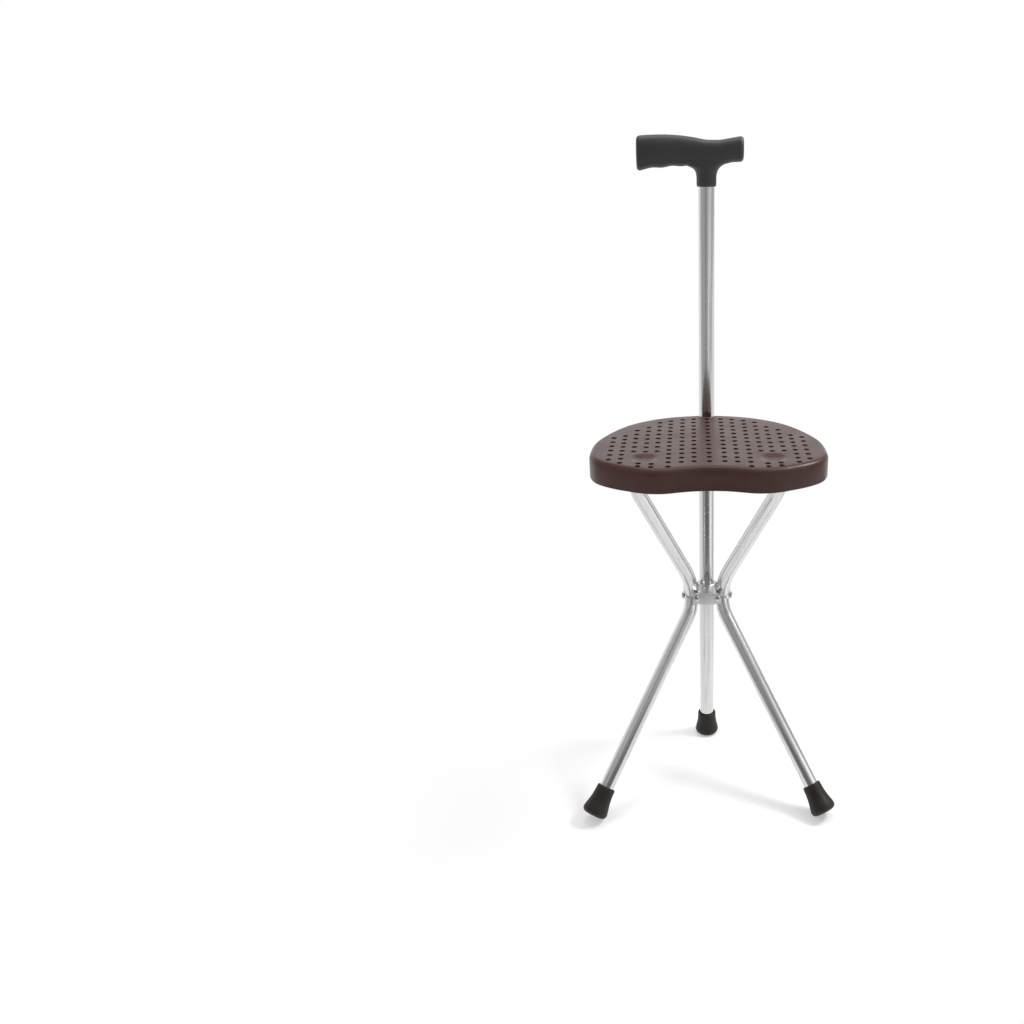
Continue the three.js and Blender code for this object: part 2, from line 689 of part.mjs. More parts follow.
// Struts from the hub up to the seat hinges
const strutEnd = strutLength + legRadius;
const strutPath = bentPath([
  new THREE.Vector2(kneeLateral, 0), new THREE.Vector2(kneeLateral, strutBendAt),
  new THREE.Vector2(pinLateral, strutEndBendAt), new THREE.Vector2(pinLateral, strutEnd),
], [strutBendRadius, strutEndBendRadius]);
const strutPlan = limb(strutPath, true);
const strutHollow = [...strutPlan.hollow.slice(0, -1), new THREE.Vector2(pinLateral, strutEnd + cutOverrun)];
const strutReach = pinLateral + legRadius + cutOverrun;
const strutTrim = block(-strutReach, strutReach, -strutReach, strutReach, -strutReach, strutLength)
  .add(turnedAcross(rod(legRadius, -strutReach, strutReach), legSides, at(0, 0, strutLength)));
const strutPinBore = rod(pinRadius + fitGap, pinLateral - legRadius - cutOverrun, strutReach);
const strut = strutPlan.outside
  .intersect(strutTrim)
  .subtract(bar(strutHollow, legRadius - legWall, boreSides))
  .subtract(joined(strutPlan.cuts))
  .subtract(turnedAcross(strutPinBore, boreSides, at(0, 0, strutLength)));
const strutShape = surface(strut);

const cheekInner = legRadius + bracketPlay;
const pinHeadFace = cheekInner + bracketPlate + fitGap;
const pinHead = headed(pinRadius, pinHeadFace, pinHeadRadius, pinHeadHeight);
const pinBody = turnedAcross(pinHead, smallSides, at(pinHeadFace, 0, 0))
  .add(turnedAcross(pinHead.map(([r, x]) => [r, -x]), smallSides, at(-pinHeadFace, 0, 0)));
const pinShape = surface(pinBody);

[['left', -1], ['right', 1]].forEach(([name, side]) => {
  const group = gather(`strut_pieces_${name}`, axlePlace, strutTilt);
  piece(group, `upper_strut_${name}`, side > 0 ? strutShape : mirrored(strutShape), aluminium);
  piece(group, `strut_pin_${name}`, pinShape, brightSteel, at(side * pinLateral, 0, strutLength));
});

// Front legs from the hub down to the flared feet
const legCorners = [
  new THREE.Vector2(kneeLateral, 0), new THREE.Vector2(kneeLateral, legBendAt),
  new THREE.Vector2(frontFootLateral, legLength),
];
const footLean = Math.atan2(frontFootLateral - kneeLateral, legLength - legBendAt);
const legAlong = new THREE.Vector2(Math.sin(footLean), Math.cos(footLean));
legCorners[2].addScaledVector(legAlong, -footSole - discThickness - 2 * fitGap);
const legPlan = limb(bentPath(legCorners, [legBendRadius]), false);
legPlan.hollow[legPlan.hollow.length - 1].addScaledVector(legAlong, cutOverrun);
const leg = legPlan.outside
  .subtract(bar(legPlan.hollow, legRadius - legWall, boreSides))
  .subtract(joined(legPlan.cuts));
const legShape = surface(leg).rotateY(Math.PI);

[['left', -1], ['right', 1]].forEach(([name, side]) => {
  const group = gather(`leg_pieces_${name}`, axlePlace, -legTilt);
  // The tube is drawn upwards from the axle; half a turn about +Y points it down on the other side
  piece(group, `lower_leg_${name}`, side < 0 ? legShape : mirrored(legShape), aluminium);
  const footPlace = at(side * frontFootLateral, 0, -legLength);
  const ferrule = piece(group, `ferrule_${name}`, new THREE.BufferGeometry(), blackRubber, footPlace);
  ferrule.rotation.y = -side * footLean;
  stool.updateMatrixWorld(true);
  const floor = new THREE.BoxGeometry(deepCut * 2, deepCut * 2, deepCut).translate(0, 0, -deepCut / 2);
  const footOnFloor = at(side * frontFootLateral, frontFootForward, 0);
  floor.translate(footOnFloor.x, footOnFloor.y, footOnFloor.z);
  floor.applyMatrix4(ferrule.matrixWorld.clone().invert());
  ferrule.geometry = surface(foot(frontFootHeight, legRadius, tubeSides).subtract(solid(floor)));
  const base = piece(group, `ferrule_disc_${name}`, surface(disc(legRadius)), brightSteel, footPlace);
  base.rotation.y = ferrule.rotation.y;
});

// Seat: a hollow moulding with a rounded rim
const halfOutline = seatOutlineShares.map(([lateralShare, depthShare]) => at(
  (lateralShare * seatWidth) / 2, seatRearForward + depthShare * seatDepth, 0));
const otherHalf = halfOutline.slice(1, -1).reverse().map((point) => point.clone().setX(-point.x));
const outline = new THREE.CatmullRomCurve3([...halfOutline, ...otherHalf], true, 'centripetal')
  .getSpacedPoints(outlineSteps).slice(0, -1);

function outlineRing(inset, height) {
  return outline.map((point, i) => {
    const before = outline[(i + outline.length - 1) % outline.length];
    const after = outline[(i + 1) % outline.length];
    const along = after.clone().sub(before).normalize();
    return new THREE.Vector3(point.x + along.y * inset, point.y - along.x * inset, height);
  });
}

const rimRings = Array.from({ length: roundSteps + 1 }, (_, k) => {
  const turn = (k / roundSteps) * (Math.PI / 2);
  const height = seatTop - seatRimRound * (1 - Math.sin(turn));
  return outlineRing(seatRimRound * (1 - Math.cos(turn)), height);
});
const seatOuter = solid(loft([
  outlineRing(seatFootRound, seatUnderside), outlineRing(0, seatUnderside + seatFootRound), ...rimRings,
]));
const cavityTop = seatTop - seatPlate;
const cavity = solid(loft([
  outlineRing(seatWall, seatUnderside - cutOverrun),
  outlineRing(seatWall, cavityTop - seatCavityRound),
  outlineRing(seatWall + seatCavityRound, cavityTop),
]));
const seatFar = seatRearForward + seatDepth;
const ribFoot = seatUnderside + ribSetback;
const ribs = [-1, 1].map((side) => block(
  side * ribLateral - ribThickness / 2, side * ribLateral + ribThickness / 2,
  seatRearForward, seatFar, ribFoot, cavityTop + cutOverrun));
ribs.push(block(
  -seatWidth, seatWidth, ribForward - ribThickness / 2, ribForward + ribThickness / 2,
  ribFoot, cavityTop + cutOverrun));
const screwPlaces = [
  ...channelScrewForwards.map((forward) => [0, forward]),
  ...[-1, 1].flatMap((side) => [-1, 1].map((end) => [side * pinLateral, pinForward + end * bracketScrewReach])),
];
const bosses = screwPlaces.map(([lateral, forward]) => turned(
  rod(bossRadius, seatUnderside, cavityTop + cutOverrun), boreSides));
const placedBosses = bosses.map((boss, i) => boss.translate(screwPlaces[i][0], -screwPlaces[i][1], 0));
const notchRadius = tubeRadius + notchPlay;
const notchForward = seatRearForward + notchDepth - notchRadius;
const notch = turned(rod(notchRadius, seatUnderside - deepCut, seatTop + deepCut), tubeSides)
  .translate(0, -notchForward, 0);
const notchWall = turned(rod(notchRadius + seatWall, seatUnderside, cavityTop + cutOverrun), tubeSides)
  .translate(0, -notchForward, 0);
const inside = joined([...ribs, ...placedBosses, notchWall]).intersect(seatOuter);

const holes = holeColumns.flatMap(([lateral, first, last, count]) => {
  const sides = lateral === 0 ? [1] : [-1, 1];
  return sides.flatMap((side) => Array.from({ length: count }, (_, k) => {
    const forward = first + ((last - first) * k) / (count - 1);
    return turned(rod(holeRadius, cavityTop - seatCavityRound, seatTop + cutOverrun), holeSides)
      .translate(side * lateral, -forward, 0);
  }));
});
const recesses = [-1, 1].map((side) => {
  const ring = (shrink, height) => oval(
    recessHalfWidth - shrink, recessHalfDepth - shrink, smallSides,
    (x, y) => at(side * recessLateral + x, recessForward + y, height));
  return solid(loft([
    ring(recessSlope, seatTop - recessDepth), ring(0, seatTop), ring(0, seatTop + cutOverrun),
  ]));
});
const screwBores = screwPlaces.map(([lateral, forward]) => turned(
  rod(screwShankRadius + fitGap, seatUnderside - cutOverrun, seatUnderside + screwDepth + fitGap), boreSides)
  .translate(lateral, -forward, 0));
const shell = seatOuter.subtract(cavity).add(inside)
  .subtract(notch)
  .subtract(joined(holes))
  .subtract(joined(recesses))
  .subtract(joined(screwBores));
piece(seat, 'seat_shell', surface(shell), seatBrown, seatOffset);

// Channel under the seat: two walls on a web, the wall ends hooked over the crossbar
const channelOuter = channelInnerHalfWidth + channelWall;
const slotRear = latchForward - latchRadius - latchPlay;
const slotFront = latchForward + latchRadius + latchPlay;
const slotTop = latchHeight + latchRadius + latchPlay;
const deepBottom = latchHeight - hookBelowLatch;
const fingerBottom = latchHeight - fingerBelowLatch;
const lipRun = (latchHeight + latchPlay - deepBottom) * hookLipSlopeShare;
const wallOutline = [
  [channelFingerRear, channelTop], [channelFingerRear, fingerBottom + cutOverrun],
  [channelFingerRear + cutOverrun, fingerBottom], [slotRear, fingerBottom],
  [slotRear, slotTop - latchRadius], [latchForward - latchRadius / 2, slotTop],
  [latchForward + latchRadius / 2, slotTop], [slotFront, slotTop - latchRadius],
  [slotFront + lipRun, deepBottom], [channelDeepForward, deepBottom],
  [channelFront, seatUnderside - channelFrontDepth], [channelFront, channelTop],
];
const web = block(
  -channelOuter, channelOuter, channelWebStart, channelFront, channelTop - channelWall, channelTop);
const channelBores = channelScrewForwards.map((forward) => turned(
  rod(screwShankRadius + fitGap, seatUnderside - deepCut, seatTop), boreSides).translate(0, -forward, 0));
const channel = sideSlab(wallOutline, -channelOuter, -channelInnerHalfWidth)
  .add(sideSlab(wallOutline, channelInnerHalfWidth, channelOuter))
  .add(web)
  .subtract(joined(channelBores));
piece(seat, 'seat_channel', surface(channel), blackSteel, seatOffset);

// Hinge brackets under the seat, each with two cheeks on the pin
const cheekTop = seatUnderside - fitGap;
const cheekArc = Array.from({ length: 2 * roundSteps + 1 }, (_, k) => {
  const turn = Math.PI * (1 + k / (2 * roundSteps));
  return [pinForward + bracketCheekRound * Math.cos(turn), pinHeight + bracketCheekRound * Math.sin(turn)];
});
const cheekOutline = [
  [pinForward - bracketCheekFoot, cheekTop], ...cheekArc, [pinForward + bracketCheekFoot, cheekTop],
];
function screw(lateral, forward, head) {
  const profile = headed(screwShankRadius, screwDepth + seatUnderside - head, screwHeadRadius, screwHeadHeight)
    .map(([r, z]) => [r, -z]);
  return turned(profile, boreSides).translate(lateral, -forward, head);
}

const bracketScrewHead = cheekTop - bracketPlate - fitGap;
[['left', -1], ['right', 1]].forEach(([name, side]) => {
  const middle = side * pinLateral;
  const outer = cheekInner + bracketPlate;
  const ends = [-1, 1].map((end) => pinForward + end * bracketScrewReach);
  const bores = ends.map((forward) => turned(
    rod(screwShankRadius + fitGap, seatUnderside - deepCut / 2, seatTop), boreSides)
    .translate(middle, -forward, 0));
  const bracket = sideSlab(cheekOutline, middle - outer, middle - cheekInner)
    .add(sideSlab(cheekOutline, middle + cheekInner, middle + outer))
    .add(block(
      middle - outer, middle + outer, pinForward - bracketHalfLength, pinForward + bracketHalfLength,
      cheekTop - bracketPlate, cheekTop))
    .subtract(turnedAcross(
      rod(pinRadius + fitGap, middle - deepCut / 2, middle + deepCut / 2), boreSides,
      at(0, pinForward, pinHeight)))
    .subtract(joined(bores));
  piece(seat, `bracket_${name}`, surface(bracket), blackSteel, seatOffset);
  ['rear', 'front'].forEach((end, i) => {
    const body = screw(middle, ends[i], bracketScrewHead);
    piece(seat, `bracket_screw_${name}_${end}`, surface(body), brightSteel, seatOffset);
  });
});
const channelScrewHead = channelTop - channelWall - fitGap;
['rear', 'middle', 'front'].forEach((name, i) => {
  const body = screw(0, channelScrewForwards[i], channelScrewHead);
  piece(seat, `channel_screw_${name}`, surface(body), brightSteel, seatOffset);
});

export default stool;
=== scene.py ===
"""Walking stick seat, open: a stick with a perforated seat and two splayed front legs.

All lengths are in metres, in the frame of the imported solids: the rear foot stands at the
origin, +Z is up and the seat points to -Y.
"""
import math

import bmesh
import bpy
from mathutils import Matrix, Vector


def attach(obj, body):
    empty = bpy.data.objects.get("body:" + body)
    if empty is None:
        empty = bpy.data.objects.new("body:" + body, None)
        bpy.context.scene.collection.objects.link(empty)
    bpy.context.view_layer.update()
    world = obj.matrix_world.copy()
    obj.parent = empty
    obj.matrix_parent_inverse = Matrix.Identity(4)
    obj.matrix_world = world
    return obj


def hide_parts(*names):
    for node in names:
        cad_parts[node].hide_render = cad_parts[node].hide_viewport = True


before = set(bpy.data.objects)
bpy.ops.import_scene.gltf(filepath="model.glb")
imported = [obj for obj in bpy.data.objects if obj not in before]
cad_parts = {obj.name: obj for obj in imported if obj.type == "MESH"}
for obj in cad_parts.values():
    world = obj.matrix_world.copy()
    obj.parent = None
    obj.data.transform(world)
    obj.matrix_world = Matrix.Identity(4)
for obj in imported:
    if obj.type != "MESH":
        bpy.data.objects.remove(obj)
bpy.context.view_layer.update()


# The photographer's place: close in front of the stick, a little above the seat, looking
# down. The shift puts the open stool to the right of the frame's middle.
SENSOR = 36
LENS = 32.52
CAMERA_PLACE = (-0.0195, -1.2, 0.8439)
CAMERA_DROP = 0.3384
CAMERA_TURN = -0.0185
SHIFT_ACROSS = -0.192
SHIFT_UP = -0.041

camera_data = bpy.data.cameras.new("photo_camera")
camera_data.sensor_width = SENSOR
camera_data.lens = LENS
camera_data.shift_x = SHIFT_ACROSS
camera_data.shift_y = SHIFT_UP
camera = bpy.data.objects.new("photo_camera", camera_data)
camera.location = CAMERA_PLACE
camera.rotation_euler = (math.pi / 2 - CAMERA_DROP, 0, CAMERA_TURN)
bpy.context.scene.collection.objects.link(camera)
bpy.context.scene.camera = camera
bpy.context.scene.view_settings.view_transform = "Standard"


# The room: a plain pale floor that keeps the stool's shadow near it and runs out to white,
# for the camera and for gloss alike, under an even pale sky.
FLOOR_HALF = 6.0
FLOOR_DROP = 0.0005
FLOOR_CORNERS = ((-1, -1), (1, -1), (1, 1), (-1, 1))
FLOOR_TINT = (0.97, 0.965, 0.96, 1)
WHITE = (1, 1, 1, 1)
SHADOW_CENTRE = (0, -0.13, 0)
SHADOW_NEAR, SHADOW_FAR = 0.2, 0.46
NEAR_GLOW = 0.3
SKY_LIGHT, SKY_SHOWN = 0.62, 1.0


def link(tree, source, target):
    tree.links.new(source, target)


def nodes_of(owner):
    owner.use_nodes = True
    owner.node_tree.nodes.clear()
    return owner.node_tree


def surface(tree, shader, kind="ShaderNodeOutputMaterial"):
    out = tree.nodes.new(kind)
    link(tree, shader.outputs[0], out.inputs["Surface"])


def either_ray(tree, first, second):
    """1 on the rays of two kinds and 0 on all others."""
    path = tree.nodes.new("ShaderNodeLightPath")
    seen = tree.nodes.new("ShaderNodeMath")
    seen.operation = "MAXIMUM"
    link(tree, path.outputs[first], seen.inputs[0])
    link(tree, path.outputs[second], seen.inputs[1])
    return seen.outputs[0]


def mixed_shader(tree, share, first, second):
    blend = tree.nodes.new("ShaderNodeMixShader")
    link(tree, share, blend.inputs["Fac"])
    link(tree, first.outputs[0], blend.inputs[1])
    link(tree, second.outputs[0], blend.inputs[2])
    return blend


floor_paint = bpy.data.materials.new("floor_paint")
tree = nodes_of(floor_paint)
coat = tree.nodes.new("ShaderNodeBsdfDiffuse")
coat.inputs["Color"].default_value = FLOOR_TINT
glow = tree.nodes.new("ShaderNodeEmission")
glow.inputs["Color"].default_value = WHITE
place = tree.nodes.new("ShaderNodeNewGeometry")
reach = tree.nodes.new("ShaderNodeVectorMath")
reach.operation = "DISTANCE"
reach.inputs[1].default_value = SHADOW_CENTRE
link(tree, place.outputs["Position"], reach.inputs[0])
fade = tree.nodes.new("ShaderNodeMapRange")
fade.interpolation_type = "SMOOTHSTEP"
fade.inputs["From Min"].default_value = SHADOW_NEAR
fade.inputs["From Max"].default_value = SHADOW_FAR
fade.inputs["To Min"].default_value = NEAR_GLOW
fade.inputs["To Max"].default_value = 1.0
link(tree, reach.outputs["Value"], fade.inputs["Value"])
share = tree.nodes.new("ShaderNodeMath")
share.operation = "MULTIPLY"
link(tree, either_ray(tree, "Is Camera Ray", "Is Glossy Ray"), share.inputs[0])
link(tree, fade.outputs["Result"], share.inputs[1])
surface(tree, mixed_shader(tree, share.outputs[0], coat, glow))

mesh = bpy.data.meshes.new("floor")
mesh.from_pydata(
    [(sx * FLOOR_HALF, sy * FLOOR_HALF, -FLOOR_DROP) for sx, sy in FLOOR_CORNERS],
    [], [(0, 1, 2, 3)])
floor = bpy.data.objects.new("floor", mesh)
floor.data.materials.append(floor_paint)
bpy.context.scene.collection.objects.link(floor)

world = bpy.data.worlds.new("studio")
bpy.context.scene.world = world
tree = nodes_of(world)
ambient = tree.nodes.new("ShaderNodeBackground")
ambient.inputs["Color"].default_value = WHITE
ambient.inputs["Strength"].default_value = SKY_LIGHT
shown = tree.nodes.new("ShaderNodeBackground")
shown.inputs["Color"].default_value = WHITE
shown.inputs["Strength"].default_value = SKY_SHOWN
seen = either_ray(tree, "Is Camera Ray", "Is Transmission Ray")
surface(tree, mixed_shader(tree, seen, ambient, shown), "ShaderNodeOutputWorld")

# Lamps: a small key from the right, a broad fill from the left that gloss doesn't show, and
# a broad one above. Each has a place, a point that it faces, two sizes, watts, and whether
# gloss shows it.
LAMPS = (
    ("key_light", (1.5, 0.12, 2.2), (0, -0.1, 0.3), (0.6, 0.6), 36, True),
    ("fill_light", (-1.9, -1.3, 1.6), (0, -0.1, 0.4), (1.2, 1.6), 14, False),
    ("top_light", (0.1, 0.4, 2.4), (0, -0.1, 0.4), (1.6, 1.2), 15, True))
for name, place, aim, sizes, watts, in_gloss in LAMPS:
    data = bpy.data.lights.new(name, "AREA")
    data.shape = "RECTANGLE"
    data.size, data.size_y = sizes
    data.energy = watts
    lamp = bpy.data.objects.new(name, data)
    lamp.location = place
    lamp.rotation_euler = (Vector(aim) - Vector(place)).to_track_quat("-Z", "Y").to_euler()
    lamp.visible_glossy = in_gloss
    bpy.context.scene.collection.objects.link(lamp)

# Cards round the stool, seen only in gloss as bands on the tubes and a sheen on the seat.
# Each has a direction from -Y towards +X in degrees, a distance, half a width, a bottom,
# a top and a strength. Only the darkest is slightly warm.
CARDS = (
    ("card_near", 3, 0.5, 0.27, 0, 0.3, 0.17),
    ("card_near_left", -46, 0.5, 0.2, 0, 0.3, 0.36),
    ("card_near_bright", 66, 0.5, 0.1, 0, 0.3, 1.3),
    ("card_near_edge", 99, 0.5, 0.07, 0, 0.3, 0.3),
    ("card_front", -14, 1.3, 0.38, 0.12, 0.95, 0.32),
    ("card_front_middle", 14, 1.3, 0.21, 0.12, 0.95, 0.46),
    ("card_front_left", -58, 1.2, 0.6, 0.12, 0.95, 0.47),
    ("card_front_right", 62, 1.2, 0.5, 0.26, 0.5, 0.56),
    ("card_left", -122, 1.5, 0.6, 0, 1.2, 1.05),
    ("card_high", -3, 1.6, 0.62, 0.96, 2.3, 0.38),
    ("card_glow", 62, 2.2, 0.34, 0.8, 2.0, 1.9),
    ("card_edge", 83, 1.2, 0.24, 0.5, 1.05, 0.44),
    ("card_behind", 180, 2.6, 1.6, 0, 2.2, 1.2))
WARM_TINT, WARM_BELOW = (1, 0.93, 0.91, 1), 0.3
for name, degrees, distance, half_wide, bottom, top, strength in CARDS:
    turn = math.radians(degrees)
    middle = Vector((math.sin(turn), -math.cos(turn), 0)) * distance
    side = Vector((math.cos(turn), math.sin(turn), 0)) * half_wide
    card_corners = ((-1, bottom), (1, bottom), (1, top), (-1, top))
    mesh = bpy.data.meshes.new(name)
    mesh.from_pydata(
        [middle + side * sx + Vector((0, 0, z)) for sx, z in card_corners], [], [(0, 1, 2, 3)])
    card_paint = bpy.data.materials.new(name)
    tree = nodes_of(card_paint)
    glow = tree.nodes.new("ShaderNodeEmission")
    glow.inputs["Color"].default_value = WARM_TINT if strength < WARM_BELOW else WHITE
    glow.inputs["Strength"].default_value = strength
    surface(tree, glow)
    mesh.materials.append(card_paint)
    card = bpy.data.objects.new(name, mesh)
    card.visible_camera = card.visible_diffuse = card.visible_shadow = False
    bpy.context.scene.collection.objects.link(card)


# Wear, grain and painted corner shade that several finishes share. Each group turns the place
# on the piece into a mask or a value that varies over the surface.
def group_of(name, inputs, outputs, kind="ShaderNodeTree"):
    """A node group with its entry and exit. An input has a label, a kind and a value."""
    group = bpy.data.node_groups.new(name, kind)
    for label, socket_kind, value in inputs:
        socket = group.interface.new_socket(name=label, in_out="INPUT", socket_type=socket_kind)
        if value is not None:
            socket.default_value = value
    for label, socket_kind in outputs:
        group.interface.new_socket(name=label, in_out="OUTPUT", socket_type=socket_kind)
    return group, group.nodes.new("NodeGroupInput"), group.nodes.new("NodeGroupOutput")


def math_node(tree, operation, first, second):
    node = tree.nodes.new("ShaderNodeMath")
    node.operation = operation
    for socket, value in zip(node.inputs, (first, second)):
        if isinstance(value, (int, float)):
            socket.default_value = value
        else:
            link(tree, value, socket)
    return node.outputs[0]


def noise_node(tree, vector, scale, detail, roughness=0.5):
    node = tree.nodes.new("ShaderNodeTexNoise")
    node.inputs["Detail"].default_value = detail
    node.inputs["Roughness"].default_value = roughness
    link(tree, vector, node.inputs["Vector"])
    if isinstance(scale, (int, float)):
        node.inputs["Scale"].default_value = scale
    else:
        link(tree, scale, node.inputs["Scale"])
    return node.outputs["Fac"]


def spread_node(tree, value, low, high, to_low=0.0, to_high=1.0):
    node = tree.nodes.new("ShaderNodeMapRange")
    node.inputs["From Min"].default_value = low
    node.inputs["From Max"].default_value = high
    node.inputs["To Min"].default_value = to_low
    node.inputs["To Max"].default_value = to_high
    link(tree, value, node.inputs["Value"])
    return node.outputs["Result"]


def colour_mix(tree, factor, first, second):
    node = tree.nodes.new("ShaderNodeMix")
    node.data_type = "RGBA"
    # The colours go in at sockets 6 and 7 and come out at socket 2
    for number, value in ((0, factor), (6, first), (7, second)):
        if isinstance(value, tuple):
            node.inputs[number].default_value = value
        else:
            link(tree, value, node.inputs[number])
    return node.outputs[2]


# Fine moulded grain: two sizes of pebble, for bump and for small changes of gloss
FINER, FINE_SHARE = 2.7, 0.4
CLOUD_FROM, CLOUD_TO = 0.32, 0.68
moulded_grain, grain_in, grain_out = group_of(
    "moulded_grain",
    [("Vector", "NodeSocketVector", None), ("Pebbles", "NodeSocketFloat", 900.0),
     ("Clouds", "NodeSocketFloat", 24.0)],
    [("Height", "NodeSocketFloat"), ("Cloud", "NodeSocketFloat")])
grain_place, pebble_scale = grain_in.outputs["Vector"], grain_in.outputs["Pebbles"]
pebble = noise_node(moulded_grain, grain_place, pebble_scale, 2.0, 0.6)
fine_scale = math_node(moulded_grain, "MULTIPLY", pebble_scale, FINER)
fine = noise_node(moulded_grain, grain_place, fine_scale, 1.0)
fine_height = math_node(moulded_grain, "MULTIPLY", fine, FINE_SHARE)
height = math_node(moulded_grain, "ADD", pebble, fine_height)
link(moulded_grain, height, grain_out.inputs["Height"])
cloud = noise_node(moulded_grain, grain_place, grain_in.outputs["Clouds"], 4.0, 0.55)
link(
    moulded_grain, spread_node(moulded_grain, cloud, CLOUD_FROM, CLOUD_TO),
    grain_out.inputs["Cloud"])

# Rubbed edges and painted shade: brighter on worn outer edges, darker in corners as painted shade
EDGE_FROM, EDGE_TO = 0.515, 0.6
CORNER_SHADE_FROM, CORNER_SHADE_TO = 0.49, 0.42
edge_wear_and_corner_shade, wear_and_shade_in, wear_and_shade_out = group_of(
    "edge_wear_and_corner_shade",
    [("Vector", "NodeSocketVector", None), ("Breakup", "NodeSocketFloat", 180.0)],
    [("Edge", "NodeSocketFloat"), ("Corner Shade", "NodeSocketFloat")])
bend = edge_wear_and_corner_shade.nodes.new("ShaderNodeNewGeometry").outputs["Pointiness"]
breakup = noise_node(edge_wear_and_corner_shade, wear_and_shade_in.outputs["Vector"], wear_and_shade_in.outputs["Breakup"], 4.0, 0.6)
edge = spread_node(edge_wear_and_corner_shade, bend, EDGE_FROM, EDGE_TO)
link(edge_wear_and_corner_shade, math_node(edge_wear_and_corner_shade, "MULTIPLY", edge, breakup), wear_and_shade_out.inputs["Edge"])
# Painted shade: this mask marks hollows and creases to be darkened
painted_corner_shade = spread_node(edge_wear_and_corner_shade, bend, CORNER_SHADE_FROM, CORNER_SHADE_TO)
link(edge_wear_and_corner_shade, painted_corner_shade, wear_and_shade_out.inputs["Corner Shade"])


def placed_group(tree, group, vector, **values):
    node = tree.nodes.new("ShaderNodeGroup")
    node.node_tree = group
    link(tree, vector, node.inputs["Vector"])
    for label, value in values.items():
        node.inputs[label].default_value = value
    return node


def bumped_surface(tree, shader, height, bump, depth):
    ripple = tree.nodes.new("ShaderNodeBump")
    ripple.inputs["Strength"].default_value = bump
    ripple.inputs["Distance"].default_value = depth
    link(tree, height, ripple.inputs["Height"])
    link(tree, ripple.outputs["Normal"], shader.inputs["Normal"])
    surface(tree, shader)


# Stick: a drawn aluminium tube, bright, with fine lines along its length. The cross holes
# for the rivet and the stud are in the solid. Sharp edges are rounded by a real width.
MERGE_REACH = 1e-6
FLAT_LIMIT, BEVEL_LIMIT, SMOOTH_LIMIT = 0.6, 28, 35
BEVEL_STEPS, FLAT_WEIGHT = 2, 60
TUBE_EDGE = 0.0003
LINE_FROM, LINE_TO, LINE_ROUGHNESS, LINE_DEPTH = 0.4, 0.75, 0.06, 0.0001
PATCH_SCALE, PATCH_FROM, PATCH_TO = 22.0, 0.35, 0.7
SMOOTHER, ROUGHER = 0.02, 0.03


def drawn_metal(name, colour, dark, roughness, stretch, bump):
    """Bright metal with fine lines along the direction that it was drawn or polished in."""
    material = bpy.data.materials.new(name)
    tree = nodes_of(material)
    place = tree.nodes.new("ShaderNodeTexCoord").outputs["Object"]
    mapping = tree.nodes.new("ShaderNodeMapping")
    mapping.inputs["Scale"].default_value = stretch
    link(tree, place, mapping.inputs["Vector"])
    lines = noise_node(tree, mapping.outputs[0], 1.0, 3.0, 0.6)
    patches = spread_node(
        tree, noise_node(tree, place, PATCH_SCALE, 4.0, 0.6), PATCH_FROM, PATCH_TO)
    wear_and_shade = placed_group(tree, edge_wear_and_corner_shade, place)
    shader = tree.nodes.new("ShaderNodeBsdfPrincipled")
    shader.inputs["Metallic"].default_value = 1.0
    base = colour_mix(tree, spread_node(tree, lines, LINE_FROM, LINE_TO), colour, dark)
    # Painted shade: the corner mask pulls the colour towards the dark tone in hollows and creases
    link(tree, colour_mix(tree, wear_and_shade.outputs["Corner Shade"], base, dark), shader.inputs["Base Color"])
    rough = math_node(
        tree, "ADD", spread_node(tree, patches, 0.0, 1.0, roughness - SMOOTHER, roughness + ROUGHER),
        math_node(tree, "MULTIPLY", lines, LINE_ROUGHNESS))
    link(tree, rough, shader.inputs["Roughness"])
    bumped_surface(tree, shader, lines, bump, LINE_DEPTH)
    return material


def new_piece(name, mesh, material, body, slot, *nodes):
    """A finished piece at the origin, riding on its body and standing for solids."""
    piece = bpy.data.objects.new(name, mesh)
    bpy.context.scene.collection.objects.link(piece)
    piece.data.materials.clear()
    piece.data.materials.append(material)
    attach(piece, body)
    if nodes:
        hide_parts(*nodes)


def plain_mesh(piece):
    """The piece as its modifiers leave it, as a mesh of its own."""
    bpy.context.view_layer.update()
    graph = bpy.context.evaluated_depsgraph_get()
    return bpy.data.meshes.new_from_object(piece.evaluated_get(graph), depsgraph=graph)


def smooth_by_angle(mesh, degrees):
    form = bmesh.new()
    form.from_mesh(mesh)
    for face in form.faces:
        face.smooth = True
    for edge in form.edges:
        edge.smooth = len(edge.link_faces) == 2 and edge.calc_face_angle(0) < math.radians(degrees)
    form.to_mesh(mesh)
    form.free()


def eased(node, width):
    """A merged copy of a solid's mesh with its sharp edges rounded by a real width."""
    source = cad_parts[node]
    form = bmesh.new()
    form.from_mesh(source.data)
    form.transform(source.matrix_world)
    bmesh.ops.remove_doubles(form, verts=form.verts, dist=MERGE_REACH)
    bmesh.ops.dissolve_limit(
        form, angle_limit=math.radians(FLAT_LIMIT), verts=form.verts, edges=form.edges)
    mesh = bpy.data.meshes.new(node + "_eased")
    form.to_mesh(mesh)
    form.free()
    holder = bpy.data.objects.new(node + "_holder", mesh)
    bpy.context.scene.collection.objects.link(holder)
    bevel = holder.modifiers.new("edges", "BEVEL")
    bevel.width = width
    bevel.segments = BEVEL_STEPS
    bevel.limit_method = "ANGLE"
    bevel.angle_limit = math.radians(BEVEL_LIMIT)
    bevel.use_clamp_overlap = True
    rounded = plain_mesh(holder)
    smooth_by_angle(rounded, SMOOTH_LIMIT)
    holder.modifiers.clear()
    holder.data = rounded
    flats = holder.modifiers.new("flats", "WEIGHTED_NORMAL")
    flats.keep_sharp = True
    flats.weight = FLAT_WEIGHT
    result = plain_mesh(holder)
    bpy.data.objects.remove(holder)
    return result


